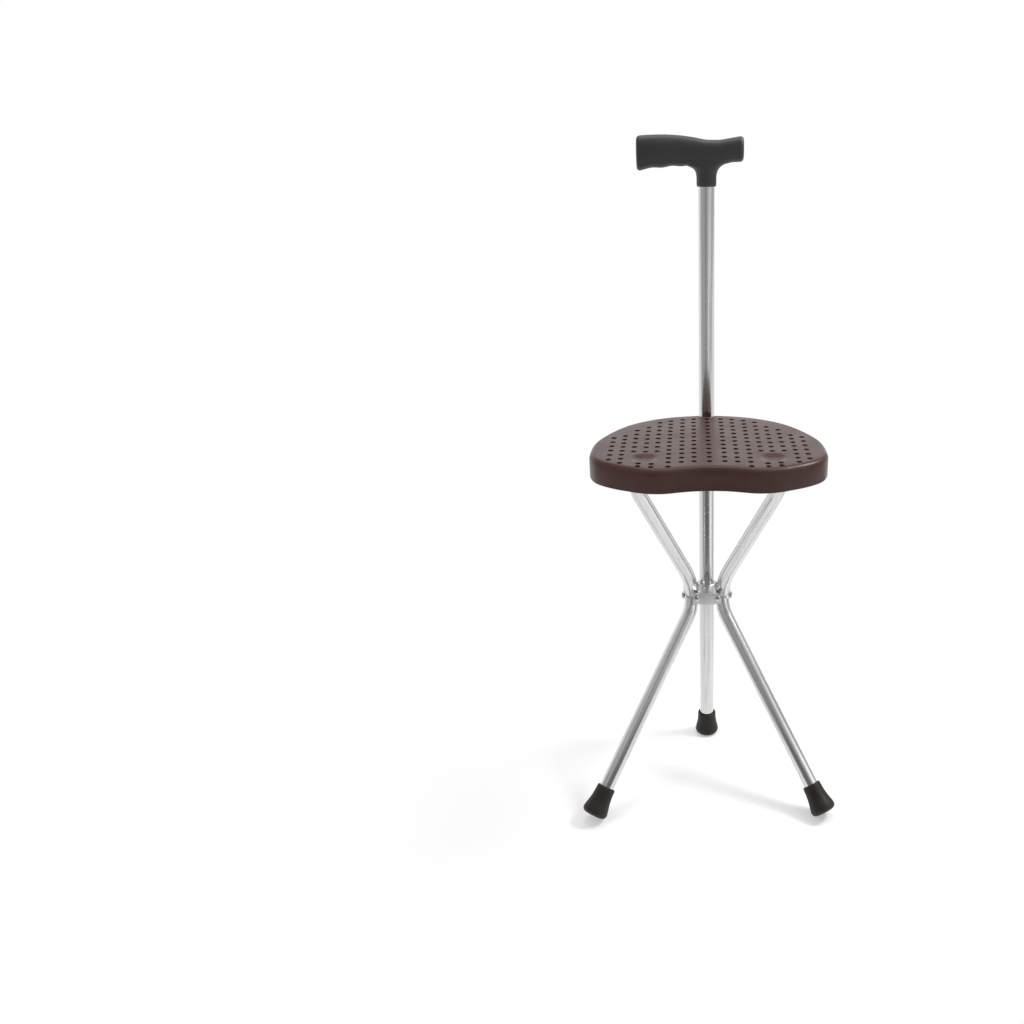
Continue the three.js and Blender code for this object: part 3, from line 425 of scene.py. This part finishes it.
def eased_piece(name, node, width, material, body, slot):
    """A finished piece in the form of one solid with eased edges."""
    new_piece(name, eased(node, width), material, body, slot, node)


bright_tube = drawn_metal(
    "bright_tube", colour=(0.655, 0.655, 0.655, 1), dark=(0.6, 0.595, 0.59, 1), roughness=0.175,
    stretch=(300, 300, 2), bump=0.005)
eased_piece("stick_tube", "main_tube", TUBE_EDGE, bright_tube, "shaft", "aluminium")


# Handle: one black moulding with a long and a short grip, shallow finger waves under the
# long one and a neck that flares out of the stick. Heights are drops below its top.
STICK_TOP = 0.8555
HANDLE_TOP_DROPS = (
    (-0.087, 0.0014), (-0.07, 0.0003), (-0.052, 0), (-0.034, 0.0008), (-0.015, 0.0032),
    (-0.003, 0.0055), (0.0055, 0.0061), (0.018, 0.0058), (0.034, 0.0032), (0.045, 0.0014))
HANDLE_UNDER_DROPS = (
    (-0.087, 0.0435), (-0.083, 0.042), (-0.076, 0.0399), (-0.064, 0.0391), (-0.052, 0.0377),
    (-0.04, 0.0371), (-0.0275, 0.0362), (0.008, 0.035), (0.0226, 0.0345), (0.031, 0.0325),
    (0.045, 0.0318))
HANDLE_DEPTHS = (
    (-0.087, 0.032), (-0.06, 0.031), (-0.02, 0.028), (0, 0.027), (0.02, 0.0275), (0.045, 0.028))
LONG_REACH, SHORT_REACH = 0.0858, 0.0458
LONG_ROUND, SHORT_ROUND = 0.004, 0.0045
NECK_RADIUS = 0.01225
# Drop, spread to the long side, to the short side and in depth
NECK_SPREADS = (
    (0.061, -0.0005, -0.0005, -0.0005), (0.0602, 0, 0, 0), (0.0485, 0.0003, 0.0003, 0.0003),
    (0.044, 0.0012, 0.0012, 0.0008), (0.041, 0.0029, 0.0025, 0.0011),
    (0.0385, 0.0065, 0.0043, 0.0013), (0.036, 0.0126, 0.0075, 0.0013),
    (0.033, 0.016, 0.013, 0.0011), (0.03, 0.017, 0.018, 0.0006))
WAVE_HEIGHT, WAVE_PITCH, WAVE_INNER = 0.0007, 0.024, 0.024
SQUARENESS = 2.6
HANDLE_SIDES = 72
GRIP_STEPS, END_STEPS, NECK_STEPS = 70, 6, 40
HANDLE_VOXEL = 0.00085
SKIN_EASE, SKIN_EASE_STEPS = 0.5, 7
HANDLE_SMOOTH_LIMIT = 40
BORE_RADIUS, BORE_BOTTOM_DROP, BORE_TOP_DROP, BORE_SIDES = 0.01055, 0.065, 0.0172, 48
GRIP_HOLE_RADIUS, GRIP_HOLE_DEPTH, GRIP_HOLE_PAST, GRIP_HOLE_SIDES = 0.0016, 0.005, 0.002, 20
GRAIN_DEPTH = 0.0002
grip_hole_height = STICK_TOP - (HANDLE_TOP_DROPS[0][1] + HANDLE_UNDER_DROPS[0][1]) / 2


def moulded(
        name, colour, clouded, worn, roughness, gloss_change, bump, pebbles, breakup, sheen=0.5):
    """Moulded plastic or rubber: fine grain, slightly uneven gloss and rubbed edges."""
    material = bpy.data.materials.new(name)
    tree = nodes_of(material)
    place = tree.nodes.new("ShaderNodeTexCoord").outputs["Object"]
    grain = placed_group(tree, moulded_grain, place, Pebbles=pebbles)
    wear_and_shade = placed_group(tree, edge_wear_and_corner_shade, place, Breakup=breakup)
    shader = tree.nodes.new("ShaderNodeBsdfPrincipled")
    shader.inputs["Specular IOR Level"].default_value = sheen
    base = colour_mix(tree, grain.outputs["Cloud"], colour, clouded)
    link(tree, colour_mix(tree, wear_and_shade.outputs["Edge"], base, worn), shader.inputs["Base Color"])
    rough = spread_node(
        tree, grain.outputs["Cloud"], 0.0, 1.0, roughness - gloss_change, roughness + gloss_change)
    link(tree, rough, shader.inputs["Roughness"])
    bumped_surface(tree, shader, grain.outputs["Height"], bump, GRAIN_DEPTH)
    return material


def along(table, x):
    """A smooth value from a table of pairs."""
    if x <= table[0][0]:
        return table[0][1]
    if x >= table[-1][0]:
        return table[-1][1]
    i = next(k for k, pair in enumerate(table) if pair[0] > x) - 1

    def slope(k):
        a, b = table[max(k - 1, 0)], table[min(k + 1, len(table) - 1)]
        return (b[1] - a[1]) / (b[0] - a[0])

    span = table[i + 1][0] - table[i][0]
    t = (x - table[i][0]) / span
    rise = table[i][1] * (1 + 2 * t) * (1 - t) ** 2 + table[i + 1][1] * t * t * (3 - 2 * t)
    return rise + span * (slope(i) * t * (1 - t) ** 2 - slope(i + 1) * t * t * (1 - t))


def loft(form, rings):
    """Skin over rings with the same number of points, closed at both ends."""
    rows = [[form.verts.new(point) for point in ring] for ring in rings]
    count = len(rows[0])
    for near, far in zip(rows, rows[1:]):
        for i in range(count):
            j = (i + 1) % count
            form.faces.new((near[i], near[j], far[j], far[i]))
    form.faces.new(rows[0][::-1])
    form.faces.new(rows[-1])


def closed_mesh(name, *ring_sets):
    """One mesh of closed forms, each a skin over its rings."""
    form = bmesh.new()
    for rings in ring_sets:
        loft(form, rings)
    bmesh.ops.recalc_face_normals(form, faces=form.faces)
    mesh = bpy.data.meshes.new(name)
    form.to_mesh(mesh)
    form.free()
    return mesh


def turns_of(sides):
    return [2 * math.pi * k / sides for k in range(sides)]


def rounded_square(turn, squareness):
    """A point on a unit circle that is drawn out towards a square."""
    share = abs(math.cos(turn)) ** squareness + abs(math.sin(turn)) ** squareness
    reach = share ** (-1 / squareness)
    return reach * math.cos(turn), reach * math.sin(turn)


def grip_ring(x, shrink):
    wave = WAVE_HEIGHT * math.sin(2 * math.pi * x / WAVE_PITCH) if x < -WAVE_INNER else 0
    top = STICK_TOP - along(HANDLE_TOP_DROPS, x) - shrink
    bottom = STICK_TOP - along(HANDLE_UNDER_DROPS, x) + wave + shrink
    half_deep = along(HANDLE_DEPTHS, x) / 2 - shrink
    ring = []
    for turn in turns_of(HANDLE_SIDES):
        across, up = rounded_square(turn, SQUARENESS)
        ring.append(Vector((x, half_deep * across, (top + bottom) / 2 + (top - bottom) / 2 * up)))
    return ring


def grip_end(reach, round_size, side):
    rings = []
    for k in range(END_STEPS):
        turn = k / END_STEPS * math.pi / 2
        x = side * (reach - round_size + round_size * math.cos(turn))
        rings.append(grip_ring(x, round_size * (1 - math.sin(turn))))
    return rings


def neck_ring(drop):
    long_spread, short_spread, deep_spread = (along(table, -drop) for table in neck_tables)
    half_wide = NECK_RADIUS + (long_spread + short_spread) / 2
    squareness = 2 + min(1, long_spread / NECK_RADIUS) * (SQUARENESS - 2)
    ring = []
    for turn in turns_of(HANDLE_SIDES):
        across, deep = rounded_square(turn, squareness)
        x = (short_spread - long_spread) / 2 + half_wide * across
        ring.append(Vector((x, (NECK_RADIUS + deep_spread) * deep, STICK_TOP - drop)))
    return ring


def round_rings(radius, start, stop, sides, axis="Z", centre=(0, 0, 0)):
    """Two rings of a round bar along X or Z."""
    rings = []
    for place in (start, stop):
        ring = []
        for turn in turns_of(sides):
            a, b = radius * math.cos(turn), radius * math.sin(turn)
            point = (place, a, b) if axis == "X" else (a, b, place)
            ring.append(Vector(point) + Vector(centre))
        rings.append(ring)
    return rings


def cut_or_join(base, operand, operation):
    """The mesh of base with operand cut from it or joined to it."""
    holder = bpy.data.objects.new("base_holder", base)
    tool = bpy.data.objects.new("tool_holder", operand)
    for item in (holder, tool):
        bpy.context.scene.collection.objects.link(item)
    step = holder.modifiers.new("step", "BOOLEAN")
    step.operation = operation
    step.solver = "EXACT"
    step.object = tool
    result = plain_mesh(holder)
    for item in (holder, tool):
        bpy.data.objects.remove(item)
    return result


grip_start, grip_stop = LONG_ROUND - LONG_REACH, SHORT_REACH - SHORT_ROUND
grip_rings = grip_end(LONG_REACH, LONG_ROUND, -1)
grip_rings += [
    grip_ring(grip_start + (grip_stop - grip_start) * k / GRIP_STEPS, 0)
    for k in range(GRIP_STEPS + 1)]
grip_rings += grip_end(SHORT_REACH, SHORT_ROUND, 1)[::-1]
neck_tables = [[(-row[0], row[k]) for row in NECK_SPREADS] for k in (1, 2, 3)]
neck_start, neck_stop = NECK_SPREADS[0][0], NECK_SPREADS[-1][0]
neck_rings = [
    neck_ring(neck_start + (neck_stop - neck_start) * k / NECK_STEPS)
    for k in range(NECK_STEPS + 1)]
holder = bpy.data.objects.new("handle_holder", closed_mesh("handle_forms", grip_rings, neck_rings))
bpy.context.scene.collection.objects.link(holder)
skin = holder.modifiers.new("skin", "REMESH")
skin.mode = "VOXEL"
skin.voxel_size = HANDLE_VOXEL
ease = holder.modifiers.new("ease", "SMOOTH")
ease.factor = SKIN_EASE
ease.iterations = SKIN_EASE_STEPS
handle_mesh = plain_mesh(holder)
bpy.data.objects.remove(holder)
tube_bore = round_rings(
    BORE_RADIUS, STICK_TOP - BORE_BOTTOM_DROP, STICK_TOP - BORE_TOP_DROP, BORE_SIDES)
grip_hole = round_rings(
    GRIP_HOLE_RADIUS, -LONG_REACH - GRIP_HOLE_PAST, GRIP_HOLE_DEPTH - LONG_REACH, GRIP_HOLE_SIDES,
    "X", (0, 0, grip_hole_height))
handle_mesh = cut_or_join(
    handle_mesh, closed_mesh("handle_cuts", tube_bore, grip_hole), "DIFFERENCE")
smooth_by_angle(handle_mesh, HANDLE_SMOOTH_LIMIT)
handle_black = moulded(
    "handle_black", colour=(0.018, 0.0165, 0.016, 1), clouded=(0.023, 0.021, 0.0205, 1),
    worn=(0.045, 0.042, 0.04, 1), roughness=0.5, gloss_change=0.05, bump=0.35, pebbles=1100,
    breakup=160)
new_piece("handle_moulding", handle_mesh, handle_black, "shaft", "black_plastic", "handle")


# Feet: flared black rubber cups pushed over the tube ends. The two in front lean with their
# legs and are flat where they meet the floor.
FOOT_EDGE = 0.0006
foot_rubber = moulded(
    "foot_rubber", colour=(0.0115, 0.0085, 0.008, 1), clouded=(0.016, 0.0115, 0.0105, 1),
    worn=(0.04, 0.027, 0.024, 1), roughness=0.5, gloss_change=0.06, bump=0.4, pebbles=700,
    breakup=120, sheen=0.28)
eased_piece("rear_foot_cup", "rear_ferrule", FOOT_EDGE, foot_rubber, "shaft", "black_rubber")
for side in ("left", "right"):
    eased_piece(
        f"front_foot_cup_{side}", f"ferrule_{side}", FOOT_EDGE, foot_rubber, f"leg_{side}",
        "black_rubber")


# Struts and front legs: the same bright tube in a smaller size, bent sideways at the hub
# and ending there in half-lapped eyes.
leg_tube = drawn_metal(
    "leg_tube", colour=(0.66, 0.66, 0.66, 1), dark=(0.635, 0.63, 0.625, 1), roughness=0.2,
    stretch=(140, 140, 8), bump=0.002)
for side in ("left", "right"):
    eased_piece(
        f"strut_tube_{side}", f"upper_strut_{side}", TUBE_EDGE, leg_tube, f"strut_{side}",
        "aluminium")
    eased_piece(
        f"leg_tube_{side}", f"lower_leg_{side}", TUBE_EDGE, leg_tube, f"leg_{side}", "aluminium")


# Hub: a collar that slides on the stick, a front plate with two round heads, and a strap
# behind, all bright plated metal on one axle.
COLLAR_EDGE, COVER_EDGE, STRAP_EDGE, PIN_EDGE = 0.0007, 0.0005, 0.0004, 0.0002
hub_metal = drawn_metal(
    "hub_metal", colour=(0.7, 0.7, 0.7, 1), dark=(0.55, 0.54, 0.535, 1), roughness=0.27,
    stretch=(90, 90, 90), bump=0.04)
pin_steel = drawn_metal(
    "pin_steel", colour=(0.6, 0.6, 0.6, 1), dark=(0.38, 0.375, 0.37, 1), roughness=0.26,
    stretch=(200, 200, 200), bump=0.06)
for name, node, width, material in (
        ("hub_collar", "hub_saddle", COLLAR_EDGE, hub_metal),
        ("hub_cover", "hub_front_plate", COVER_EDGE, hub_metal),
        ("hub_strap", "hub_yoke", STRAP_EDGE, hub_metal),
        ("cover_rivet_left", "front_plate_rivet_left", PIN_EDGE, pin_steel),
        ("cover_rivet_right", "front_plate_rivet_right", PIN_EDGE, pin_steel),
        ("axle", "hub_axle", PIN_EDGE, pin_steel),
        ("axle_washer_left", "hub_washer_left", PIN_EDGE, pin_steel),
        ("axle_washer_right", "hub_washer_right", PIN_EDGE, pin_steel)):
    eased_piece(name, node, width, material, "hub", "steel")


# Seat: a dark brown moulding, hollow below, with a rounded rim, a shallow dip at each front
# corner and rows of small round drain holes.
SEAT_TOP, SEAT_THICK, SEAT_WIDE, SEAT_DEEP, SEAT_REAR = 0.504, 0.029, 0.281, 0.2232, 0.011
# Shares of half the width and of the depth, from the rear middle to the front middle
SEAT_OUTLINE = (
    (0, 0), (0.222, 0.016), (0.393, 0.047), (0.547, 0.098), (0.702, 0.178), (0.832, 0.29),
    (0.975, 0.5), (1, 0.666), (0.989, 0.756), (0.939, 0.832), (0.86, 0.883), (0.76, 0.926),
    (0.667, 0.955), (0.602, 0.975), (0.516, 0.993), (0.43, 1), (0.344, 0.996), (0.247, 0.98),
    (0.151, 0.966), (0.057, 0.96), (0, 0.96))
SEAT_RIM, SEAT_FOOT_ROUND, CAVITY_ROUND = 0.007, 0.0015, 0.004
SEAT_WALL, SEAT_PLATE = 0.003, 0.0042
RIM_STEPS, FOOT_STEPS, CAVITY_STEPS = 9, 3, 4
OUTLINE_STEPS, CURVE_STEPS = 260, 24
SEAT_SMOOTH_LIMIT = 38
# How far one form reaches into or past the next
OVERLAP = 0.001
seat_under = SEAT_TOP - SEAT_THICK
half = [Vector((a * SEAT_WIDE / 2, -SEAT_REAR - b * SEAT_DEEP)) for a, b in SEAT_OUTLINE]
corners = half + [Vector((-point.x, point.y)) for point in half[-2:0:-1]]


def closed_curve(points, steps):
    """Evenly spaced points on a centripetal curve through a closed run of points."""
    dense = []
    count = len(points)
    for i in range(count):
        p0, p1, p2, p3 = (points[(i + k) % count] for k in (-1, 0, 1, 2))
        t = [0.0]
        for a, b in ((p0, p1), (p1, p2), (p2, p3)):
            t.append(t[-1] + math.sqrt((b - a).length))
        for k in range(CURVE_STEPS):
            u = t[1] + (t[2] - t[1]) * k / CURVE_STEPS

            def mix(a, b, ta, tb):
                return a * ((tb - u) / (tb - ta)) + b * ((u - ta) / (tb - ta))

            a1, a2, a3 = mix(p0, p1, t[0], t[1]), mix(p1, p2, t[1], t[2]), mix(p2, p3, t[2], t[3])
            b1, b2 = mix(a1, a2, t[0], t[2]), mix(a2, a3, t[1], t[3])
            dense.append(mix(b1, b2, t[1], t[2]))
    reach = [0.0]
    for a, b in zip(dense, dense[1:] + dense[:1]):
        reach.append(reach[-1] + (b - a).length)
    even, j = [], 0
    for k in range(steps):
        want = reach[-1] * k / steps
        while reach[j + 1] < want:
            j += 1
        share = (want - reach[j]) / (reach[j + 1] - reach[j])
        even.append(dense[j].lerp(dense[(j + 1) % len(dense)], share))
    return even


outline = closed_curve(corners, OUTLINE_STEPS)


def outline_ring(inset, height):
    ring = []
    for i, point in enumerate(outline):
        run = (outline[(i + 1) % len(outline)] - outline[i - 1]).normalized()
        ring.append(Vector((point.x + run.y * inset, point.y - run.x * inset, height)))
    return ring


def arc_steps(steps):
    return [k / steps * math.pi / 2 for k in range(steps + 1)]


outer = [
    outline_ring(
        SEAT_FOOT_ROUND * (1 - math.sin(t)), seat_under + SEAT_FOOT_ROUND * (1 - math.cos(t)))
    for t in arc_steps(FOOT_STEPS)]
outer += [
    outline_ring(SEAT_RIM * (1 - math.cos(t)), SEAT_TOP - SEAT_RIM * (1 - math.sin(t)))
    for t in arc_steps(RIM_STEPS)]
cavity_top = SEAT_TOP - SEAT_PLATE
inner = [outline_ring(SEAT_WALL, seat_under - OVERLAP)]
inner += [
    outline_ring(
        SEAT_WALL + CAVITY_ROUND * (1 - math.cos(t)), cavity_top - CAVITY_ROUND * (1 - math.sin(t)))
    for t in arc_steps(CAVITY_STEPS)]
shell = cut_or_join(
    closed_mesh("seat_outside", outer), closed_mesh("seat_inside", inner), "DIFFERENCE")

# Ribs, screw bosses and the wall round the stick's notch stand under the plate
RIB_LATERAL, RIB_FORWARD, RIB_HALF, RIB_SETBACK = 0.0396, 0.1025, 0.001, 0.002
HINGE_LATERAL, HINGE_FORWARD = 0.0885, 0.125
CHANNEL_SCREWS = (0.0408, 0.1185, 0.1807)
BRACKET_SCREW_REACH = 0.0205
BOSS_RADIUS, BOSS_SIDES = 0.0046, 28
NOTCH_RADIUS, NOTCH_DEPTH, NOTCH_PAST = 0.01265, 0.0125, 0.02
NOTCH_SIDES, NOTCH_WALL_SIDES = 64, 48
screw_places = [(0, forward) for forward in CHANNEL_SCREWS]
screw_places += [
    (side * HINGE_LATERAL, HINGE_FORWARD + end * BRACKET_SCREW_REACH)
    for side in (-1, 1) for end in (-1, 1)]
notch_centre = (0, -(SEAT_REAR + NOTCH_DEPTH - NOTCH_RADIUS), 0)


def box_rings(left, right, rear, front, bottom, top):
    plan = ((left, -front), (right, -front), (right, -rear), (left, -rear))
    return [[Vector((x, y, z)) for x, y in plan] for z in (bottom, top)]


rib_foot, form_top = seat_under + RIB_SETBACK, cavity_top + OVERLAP
seat_front = SEAT_REAR + SEAT_DEEP
inside_forms = [
    box_rings(
        side * RIB_LATERAL - RIB_HALF, side * RIB_LATERAL + RIB_HALF, SEAT_REAR, seat_front,
        rib_foot, form_top)
    for side in (-1, 1)]
inside_forms.append(box_rings(
    -SEAT_WIDE, SEAT_WIDE, RIB_FORWARD - RIB_HALF, RIB_FORWARD + RIB_HALF, rib_foot, form_top))
inside_forms += [
    round_rings(BOSS_RADIUS, seat_under, form_top, BOSS_SIDES, centre=(x, -forward, 0))
    for x, forward in screw_places]
inside_forms.append(round_rings(
    NOTCH_RADIUS + SEAT_WALL, seat_under, form_top, NOTCH_WALL_SIDES, centre=notch_centre))
inside = closed_mesh("seat_ribs", inside_forms[0])
for rings in inside_forms[1:]:
    inside = cut_or_join(inside, closed_mesh("seat_form", rings), "UNION")
inside = cut_or_join(inside, closed_mesh("seat_limit", outer), "INTERSECT")
shell = cut_or_join(shell, inside, "UNION")

# The dips are soft bowls with a squarish outline. They and the notch are cut together
DIP_LATERAL, DIP_FORWARD = 0.0745, 0.191
DIP_HALF_WIDE, DIP_HALF_DEEP, DIP_DEPTH = 0.0178, 0.0163, 0.0025
DIP_FLAT_SHARE, DIP_SQUARENESS, DIP_STEPS, DIP_SIDES = 0.25, 2.4, 8, 56
dips = []
for side in (-1, 1):
    rings = []
    for t in arc_steps(DIP_STEPS):
        size = DIP_FLAT_SHARE + (1 - DIP_FLAT_SHARE) * t / (math.pi / 2)
        height = SEAT_TOP - DIP_DEPTH * (1 + math.cos(2 * t)) / 2
        ring = []
        for turn in turns_of(DIP_SIDES):
            across, deep = rounded_square(turn, DIP_SQUARENESS)
            ring.append(Vector((
                side * DIP_LATERAL + DIP_HALF_WIDE * size * across,
                -DIP_FORWARD + DIP_HALF_DEEP * size * deep, height)))
        rings.append(ring)
    rings.append([point + Vector((0, 0, OVERLAP)) for point in rings[-1]])
    dips.append(rings)
notch = round_rings(
    NOTCH_RADIUS, seat_under - NOTCH_PAST, SEAT_TOP + NOTCH_PAST, NOTCH_SIDES, centre=notch_centre)
shell = cut_or_join(shell, closed_mesh("seat_cuts", *dips, notch), "DIFFERENCE")

# Perforations: one short bar is cut out at each point of the hole pattern. A column has its
# distance from the middle, its first and last hole from the stick's centre, and a count.
HOLE_RADIUS, HOLE_PAST, HOLE_SIDES = 0.0034, 0.002, 16
HOLE_COLUMNS = (
    (0, 0.033, 0.204, 12), (0.0176, 0.033, 0.204, 12), (0.032, 0.0357, 0.206, 12),
    (0.047, 0.0415, 0.222, 13), (0.061, 0.0495, 0.167, 8), (0.0745, 0.07, 0.168, 7),
    (0.0885, 0.083, 0.167, 6), (0.102, 0.106, 0.208, 8), (0.1155, 0.114, 0.196, 6),
    (0.066, 0.2125, 0.223, 2), (0.081, 0.2105, 0.22, 2))
hole_points = []
for lateral, first, last, count in HOLE_COLUMNS:
    for side in ((1,) if lateral == 0 else (-1, 1)):
        hole_points += [
            (side * lateral, -(first + (last - first) * k / (count - 1)), SEAT_TOP)
            for k in range(count)]


def shown_points(name, points):
    """An object of loose points."""
    mesh = bpy.data.meshes.new(name)
    mesh.from_pydata(points, [], [])
    item = bpy.data.objects.new(name, mesh)
    bpy.context.scene.collection.objects.link(item)
    return item


def copies_on_points(tree, points, shape, turn=None):
    """Real copies of a shape, one on each point."""
    spread = tree.nodes.new("GeometryNodeInstanceOnPoints")
    link(tree, points, spread.inputs["Points"])
    link(tree, shape, spread.inputs["Instance"])
    if turn is not None:
        link(tree, turn, spread.inputs["Rotation"])
    real = tree.nodes.new("GeometryNodeRealizeInstances")
    link(tree, spread.outputs["Instances"], real.inputs["Geometry"])
    return real.outputs["Geometry"]


def painted_result(tree, geometry, material, leave):
    paint = tree.nodes.new("GeometryNodeSetMaterial")
    paint.inputs["Material"].default_value = material
    link(tree, geometry, paint.inputs["Geometry"])
    link(tree, paint.outputs["Geometry"], leave.inputs["Geometry"])


def grown_mesh(holder, group, **values):
    """The mesh that a group makes of an object, with the group's inputs set by label."""
    step = holder.modifiers.new(group.name, "NODES")
    step.node_group = group
    for socket in group.interface.items_tree:
        if socket.in_out == "INPUT" and socket.name in values:
            step[socket.identifier] = values[socket.name]
    result = plain_mesh(holder)
    bpy.data.objects.remove(holder)
    return result


seat_brown = moulded(
    "seat_brown", colour=(0.042, 0.0155, 0.0135, 1), clouded=(0.049, 0.02, 0.0175, 1),
    worn=(0.075, 0.045, 0.04, 1), roughness=0.34, gloss_change=0.05, bump=0.22, pebbles=800,
    breakup=200, sheen=0.26)
drill, entry, leave = group_of(
    "perforations",
    [("Geometry", "NodeSocketGeometry", None), ("Points", "NodeSocketObject", None),
     ("Radius", "NodeSocketFloat", None), ("Depth", "NodeSocketFloat", None)],
    [("Geometry", "NodeSocketGeometry")], "GeometryNodeTree")
fetch = drill.nodes.new("GeometryNodeObjectInfo")
link(drill, entry.outputs["Points"], fetch.inputs["Object"])
bar = drill.nodes.new("GeometryNodeMeshCylinder")
bar.inputs["Vertices"].default_value = HOLE_SIDES
link(drill, entry.outputs["Radius"], bar.inputs["Radius"])
link(drill, entry.outputs["Depth"], bar.inputs["Depth"])
bars = copies_on_points(drill, fetch.outputs["Geometry"], bar.outputs["Mesh"])
cut = drill.nodes.new("GeometryNodeMeshBoolean")
cut.operation = "DIFFERENCE"
link(drill, entry.outputs["Geometry"], cut.inputs["Mesh 1"])
link(drill, bars, cut.inputs["Mesh 2"])
painted_result(drill, cut.outputs["Mesh"], seat_brown, leave)
pattern = shown_points("hole_points", hole_points)
holder = bpy.data.objects.new("seat_holder", shell)
bpy.context.scene.collection.objects.link(holder)
shell = grown_mesh(
    holder, drill, Points=pattern, Radius=HOLE_RADIUS, Depth=2 * (SEAT_PLATE + HOLE_PAST))
bpy.data.objects.remove(pattern)
smooth_by_angle(shell, SEAT_SMOOTH_LIMIT)
new_piece("seat_moulding", shell, seat_brown, "seat", "seat_plastic", "seat_shell")


# Channel and hinge brackets under the seat: folded sheet, painted black, with bright hinge
# pins. The channel's rear ends hook over the crossbar of the latch, which is riveted to
# the stick below a round stud.
SHEET_EDGE = 0.0004
black_paint = moulded(
    "black_paint", colour=(0.028, 0.028, 0.029, 1), clouded=(0.034, 0.034, 0.035, 1),
    worn=(0.16, 0.155, 0.15, 1), roughness=0.4, gloss_change=0.06, bump=0.2, pebbles=500,
    breakup=240)
eased_piece(
    "seat_channel_fold", "seat_channel", SHEET_EDGE, black_paint, "seat", "black_steel")
for side in ("left", "right"):
    eased_piece(
        f"hinge_bracket_{side}", f"bracket_{side}", SHEET_EDGE, black_paint, "seat",
        "black_steel")
    eased_piece(
        f"hinge_pin_{side}", f"strut_pin_{side}", PIN_EDGE, pin_steel, f"strut_{side}", "steel")
eased_piece("latch", "latch_bar", SHEET_EDGE, black_paint, "shaft", "black_steel")
eased_piece("latch_rivet_body", "latch_rivet", PIN_EDGE, pin_steel, "shaft", "steel")
eased_piece("stud_body", "upper_stud", PIN_EDGE, pin_steel, "shaft", "steel")


# Screws under the seat: seven steel pan heads with a cross slot, each turned a little
# further than the last. They hold the channel and the brackets to the bosses.
HEAD_RADIUS, HEAD_HEIGHT, HEAD_EDGE, HEAD_STEPS = 0.0036, 0.0017, 0.0006, 5
SHANK_RADIUS, SHANK_LENGTH = 0.0017, 0.008
SCREW_SIDES, SCREW_TURN, SCREW_SMOOTH_LIMIT = 24, 0.7, 40
SLOT_HALF, SLOT_LONG, SLOT_DEEP = 0.0004, 0.002, 0.0009
SHEET_FACE_DROP = 0.0026
profile = [
    (SHANK_RADIUS, SHANK_LENGTH), (SHANK_RADIUS, 0.0), (HEAD_RADIUS, 0.0),
    (HEAD_RADIUS, -HEAD_EDGE)]
profile += [
    (HEAD_RADIUS * math.cos(t), -HEAD_EDGE - (HEAD_HEIGHT - HEAD_EDGE) * math.sin(t))
    for t in arc_steps(HEAD_STEPS)[1:-1]]
screw_turns = turns_of(SCREW_SIDES)
screw = closed_mesh("screw", [
    [Vector((radius * math.cos(turn), radius * math.sin(turn), z)) for turn in screw_turns]
    for radius, z in profile])
for wide, long in ((SLOT_HALF, SLOT_LONG), (SLOT_LONG, SLOT_HALF)):
    slot = box_rings(-wide, wide, -long, long, -HEAD_HEIGHT - OVERLAP, SLOT_DEEP - HEAD_HEIGHT)
    screw = cut_or_join(screw, closed_mesh("slot", slot), "DIFFERENCE")
smooth_by_angle(screw, SCREW_SMOOTH_LIMIT)
screw_shape = bpy.data.objects.new("screw_shape", screw)
bpy.context.scene.collection.objects.link(screw_shape)
setting, entry, leave = group_of(
    "screw_set",
    [("Geometry", "NodeSocketGeometry", None), ("Screw", "NodeSocketObject", None),
     ("Turn", "NodeSocketFloat", None)],
    [("Geometry", "NodeSocketGeometry")], "GeometryNodeTree")
fetch = setting.nodes.new("GeometryNodeObjectInfo")
link(setting, entry.outputs["Screw"], fetch.inputs["Object"])
number = setting.nodes.new("GeometryNodeInputIndex")
swing = math_node(setting, "MULTIPLY", number.outputs[0], entry.outputs["Turn"])
turned = setting.nodes.new("ShaderNodeCombineXYZ")
link(setting, swing, turned.inputs["Z"])
set_screws = copies_on_points(
    setting, entry.outputs["Geometry"], fetch.outputs["Geometry"], turned.outputs[0])
painted_result(setting, set_screws, pin_steel, leave)
screw_points = shown_points(
    "screw_points", [(x, -forward, seat_under - SHEET_FACE_DROP) for x, forward in screw_places])
screws = grown_mesh(screw_points, setting, Screw=screw_shape, Turn=SCREW_TURN)
bpy.data.objects.remove(screw_shape)
new_piece(
    "seat_screws", screws, pin_steel, "seat", "steel", "channel_screw_rear", "channel_screw_middle",
    "channel_screw_front", "bracket_screw_left_rear", "bracket_screw_left_front",
    "bracket_screw_right_rear", "bracket_screw_right_front")


# Discs inside the feet: zinc-plated steel washers under the tube ends, seen only through
# the tubes. They keep the solids' own forms.
for node in ("rear_ferrule_disc", "ferrule_disc_left", "ferrule_disc_right"):
    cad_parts[node].data.materials.clear()
    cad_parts[node].data.materials.append(pin_steel)
